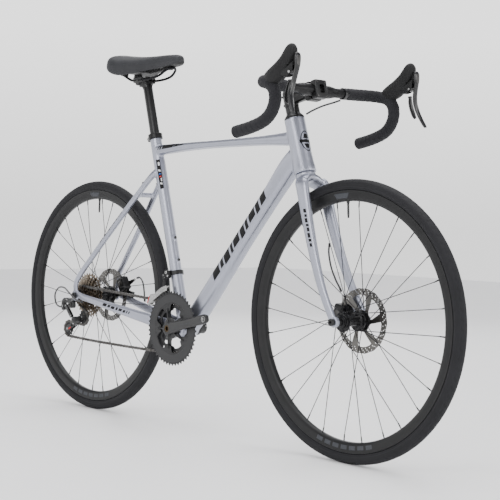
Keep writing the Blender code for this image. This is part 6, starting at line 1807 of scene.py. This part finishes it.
def build_marks():
    ft, kt = tree_of(FRAME_SKIN), tree_of(FORK_SKIN)
    for s in (-1, 1):
        side = "right" if s < 0 else "left"
        # down tube: big slanted blocks high on each side
        n = (DT_OUT * 0.34 + Y * s).normalized()
        base = DT_DIR * 352 + DT_OUT * 240.2
        wide = (34, 15, 28, 11, 30, 22, 13, 31, 18, 26)
        quads = slanted(wide, (8, 6), 15.5, 0.42 * (1 if s < 0 else -1), 0.0, 0.14)
        lay("down_tube_blocks_" + side, ft, base, DT_DIR, n, quads, M["ink_black"], "frame")
        # top tube wedge near the seat
        quads = [((-34, -6.5), (-29, -6.5), (-24, 6.5), (-29, 6.5)), ((-25, -6.5), (-17, -6.5), (-12, 6.5), (-20, 6.5)),
                 ((-13, -6.5), (36, -4.2), (50, 5.0), (-8, 6.5)), ((38, -4.0), (58, -2.4), (70, 3.2), (52, 4.9)),
                 ((60, -2.2), (78, -1.0), (88, 1.6), (72, 3.0))]
        if s > 0:
            quads = [[(u, -v) for u, v in reversed(q)] for q in quads]
        lay("top_tube_wedge_" + side, ft, V(-190, 0, 775), V(164, 0, 5), V(0, s, 0.35), quads, M["ink_black"], "frame")
        # seat stay dashes
        stay = V(-290, 0, 642) - V(-456, 0, 459)
        lay("stay_dashes_" + side, ft, V(-418, s * 57.0, 500), V(128, s * -25, 142), V(-0.55, s, 0.30).normalized(),
            slanted((13, 5, 10, 7, 16, 4, 9, 12, 6, 11), (3, 4), 2.6, 0.3), M["ink_black"], "frame")
        # chainstay: seven short blocks
        cs = V(-255, s * 39.5, 300.5) - V(-387, s * 60, 323)
        lay("chainstay_blocks_" + side, ft, V(-392, s * 60.5, 324), cs, V(0.1, s, 0.12),
            slanted((15, 10, 14, 8, 13, 9, 4, 4), (5, 4), 4.6, 0.5, 0.0, 0.1), M["ink_black"], "frame")
        # fork blade: a column of small blocks
        a, b = V(392, s * 40.5, 628), V(437, s * 48, 496)
        lay("fork_blocks_" + side, kt, V(398, s * 42, 610), b - a, V(0.35, s, 0.1),
            slanted((10, 7, 11, 6, 10, 12, 7, 9), (4, 3), 4.2, 0.25, 0.0, 0.12), M["ink_black"], "steering")
    # seat tube strip with plain coloured chips
    ahead = Vector((SEAT_UP.z, 0, -SEAT_UP.x))
    for s in (-1, 1):
        side = "right" if s < 0 else "left"
        n = (ahead * 0.75 + Y * s).normalized()
        o = on_seat(398)
        lay("seat_tube_strip_" + side, ft, o, SEAT_UP, n, [((0, -4.6), (6, -5.6), (6, 5.6), (0, 4.6)), ((6, -5.6), (86, -5.6), (86, 5.6), (6, 5.6))],
            M["ink_black"], "frame", 0.14)
        lay("seat_tube_chips_white_" + side, ft, o, SEAT_UP, n,
            [((12, -3.2), (17, -3.2), (19, 3.2), (14, 3.2)), ((22, -3.6), (31, -3.6), (31, -0.6), (22, -0.6)),
             ((50, -3.2), (55, -3.2), (57, 3.2), (52, 3.2)), ((68, -3.6), (78, -3.6), (78, 1.5), (68, 1.5))],
            M["ink_white"], "frame", 0.26)
        lay("seat_tube_chip_red_" + side, ft, o, SEAT_UP, n, [((34, -3.0), (37.5, -3.0), (37.5, 3.0), (34, 3.0))], M["ink_red"], "frame", 0.26)
        lay("seat_tube_chip_blue_" + side, ft, o, SEAT_UP, n, [((42, -3.0), (45, -3.0), (45, 3.0), (42, 3.0))], M["ink_blue"], "frame", 0.26)
    # head badge: a plain rounded outline
    o = on_head(78)
    fwd = Vector((HEAD_UP.z, 0, -HEAD_UP.x))
    ring = []
    m = 28
    for k in range(m):
        t0, t1 = 2 * math.pi * k / m, 2 * math.pi * (k + 1) / m
        ring.append(((27 * math.sin(t0), 16 * math.cos(t0)), (27 * math.sin(t1), 16 * math.cos(t1)),
                     (24.6 * math.sin(t1), 13.8 * math.cos(t1)), (24.6 * math.sin(t0), 13.8 * math.cos(t0))))
    ring.append(((-4, -18), (4, -18), (4, 18), (-4, 18)))
    ring.append(((7, -9), (19, -5), (19, 5), (7, 9)))
    ring.append(((-19, -5), (-7, -9), (-7, 9), (-19, 5)))
    lay("head_badge", ft, o, HEAD_UP, fwd, ring, M["ink_black"], "frame", 0.30)


build_marks()


# ================================================================ studio
def build_stage():
    sc = bpy.context.scene
    me = bpy.data.meshes.new("floor")
    bm = bmesh.new()
    size = 9.0
    vs = [bm.verts.new((x, y, 0.0)) for x, y in ((-size, -size), (size, -size), (size, size), (-size, size))]
    bm.faces.new(vs)
    bm.to_mesh(me)
    bm.free()
    floor = bpy.data.objects.new("floor", me)
    sc.collection.objects.link(floor)
    m, nt, b = new_material("floor_paint", (0.93, 0.93, 0.93), 0.65, 0.0)
    v = coords(nt)
    f = noise_tex(nt, v, 3.0, 2.0)
    nt.links.new(ramp(nt, f, ((0.3, (0.925, 0.925, 0.925)), (0.7, (0.94, 0.94, 0.94)))), b.inputs["Base Color"])
    me.materials.append(m)
    w = bpy.data.worlds.new("studio")
    sc.world = w
    w.use_nodes = True
    # a soft room: pale at the horizon and overhead, with a dimmer band between
    wt = w.node_tree
    bg = wt.nodes["Background"]
    tc = wt.nodes.new("ShaderNodeTexCoord")
    sp = wt.nodes.new("ShaderNodeSeparateXYZ")
    wt.links.new(tc.outputs["Generated"], sp.inputs[0])
    up_ = span(wt, sp.outputs[2], 0.0, 1.0, -1.0, 1.0)
    tone = ramp(wt, up_, ((0.0, (0.56, 0.56, 0.56)), (0.501, (0.56, 0.56, 0.56)), (0.575, (0.80, 0.80, 0.80)), (0.612, (0.80, 0.80, 0.80)), (0.70, (0.13, 0.13, 0.14)),
                          (0.84, (0.13, 0.13, 0.14)), (0.93, (0.72, 0.72, 0.74)), (1.0, (1.0, 1.0, 1.0))))
    wt.links.new(tone, bg.inputs["Color"])
    bg.inputs["Strength"].default_value = 2.6
    cam_at = Vector((2.51328, -2.20383, 0.57345))
    look = Vector((0.0, 0.0, 0.5))

    def area(name, loc, size_x, size_y, power, target=look, color=(1, 1, 1)):
        li = bpy.data.lights.new(name, 'AREA')
        li.shape = 'RECTANGLE'
        li.size = size_x
        li.size_y = size_y
        li.energy = power
        li.color = color
        ob = bpy.data.objects.new(name, li)
        ob.location = loc
        ob.rotation_euler = (Vector(loc) - target).to_track_quat('Z', 'Y').to_euler()
        sc.collection.objects.link(ob)
        return ob
    area("key", (1.2, -3.2, 2.6), 2.4, 1.6, 60)
    area("fill", (3.6, 0.6, 1.8), 1.6, 1.8, 30)
    area("top", (-0.2, 0.2, 3.6), 3.0, 2.0, 55)
    area("back", (-2.6, 2.6, 2.2), 2.0, 1.6, 35)
    # camera
    cd = bpy.data.cameras.new("camera")
    cd.lens = 88.728
    cd.sensor_width = 36.0
    cd.sensor_fit = 'HORIZONTAL'
    cam = bpy.data.objects.new("camera", cd)
    sc.collection.objects.link(cam)
    yaw, pitch, roll = -0.818957, -0.0220228, 0.0279012
    fwd = Vector((math.sin(yaw) * math.cos(pitch), math.cos(yaw) * math.cos(pitch), math.sin(pitch)))
    right0 = Vector((math.cos(yaw), -math.sin(yaw), 0.0))
    up0 = right0.cross(fwd)
    right = right0 * math.cos(roll) + up0 * math.sin(roll)
    up = -right0 * math.sin(roll) + up0 * math.cos(roll)
    rot = Matrix((right, up, -fwd)).transposed().to_4x4()
    cam.matrix_world = Matrix.Translation(cam_at) @ rot
    sc.camera = cam


build_stage()
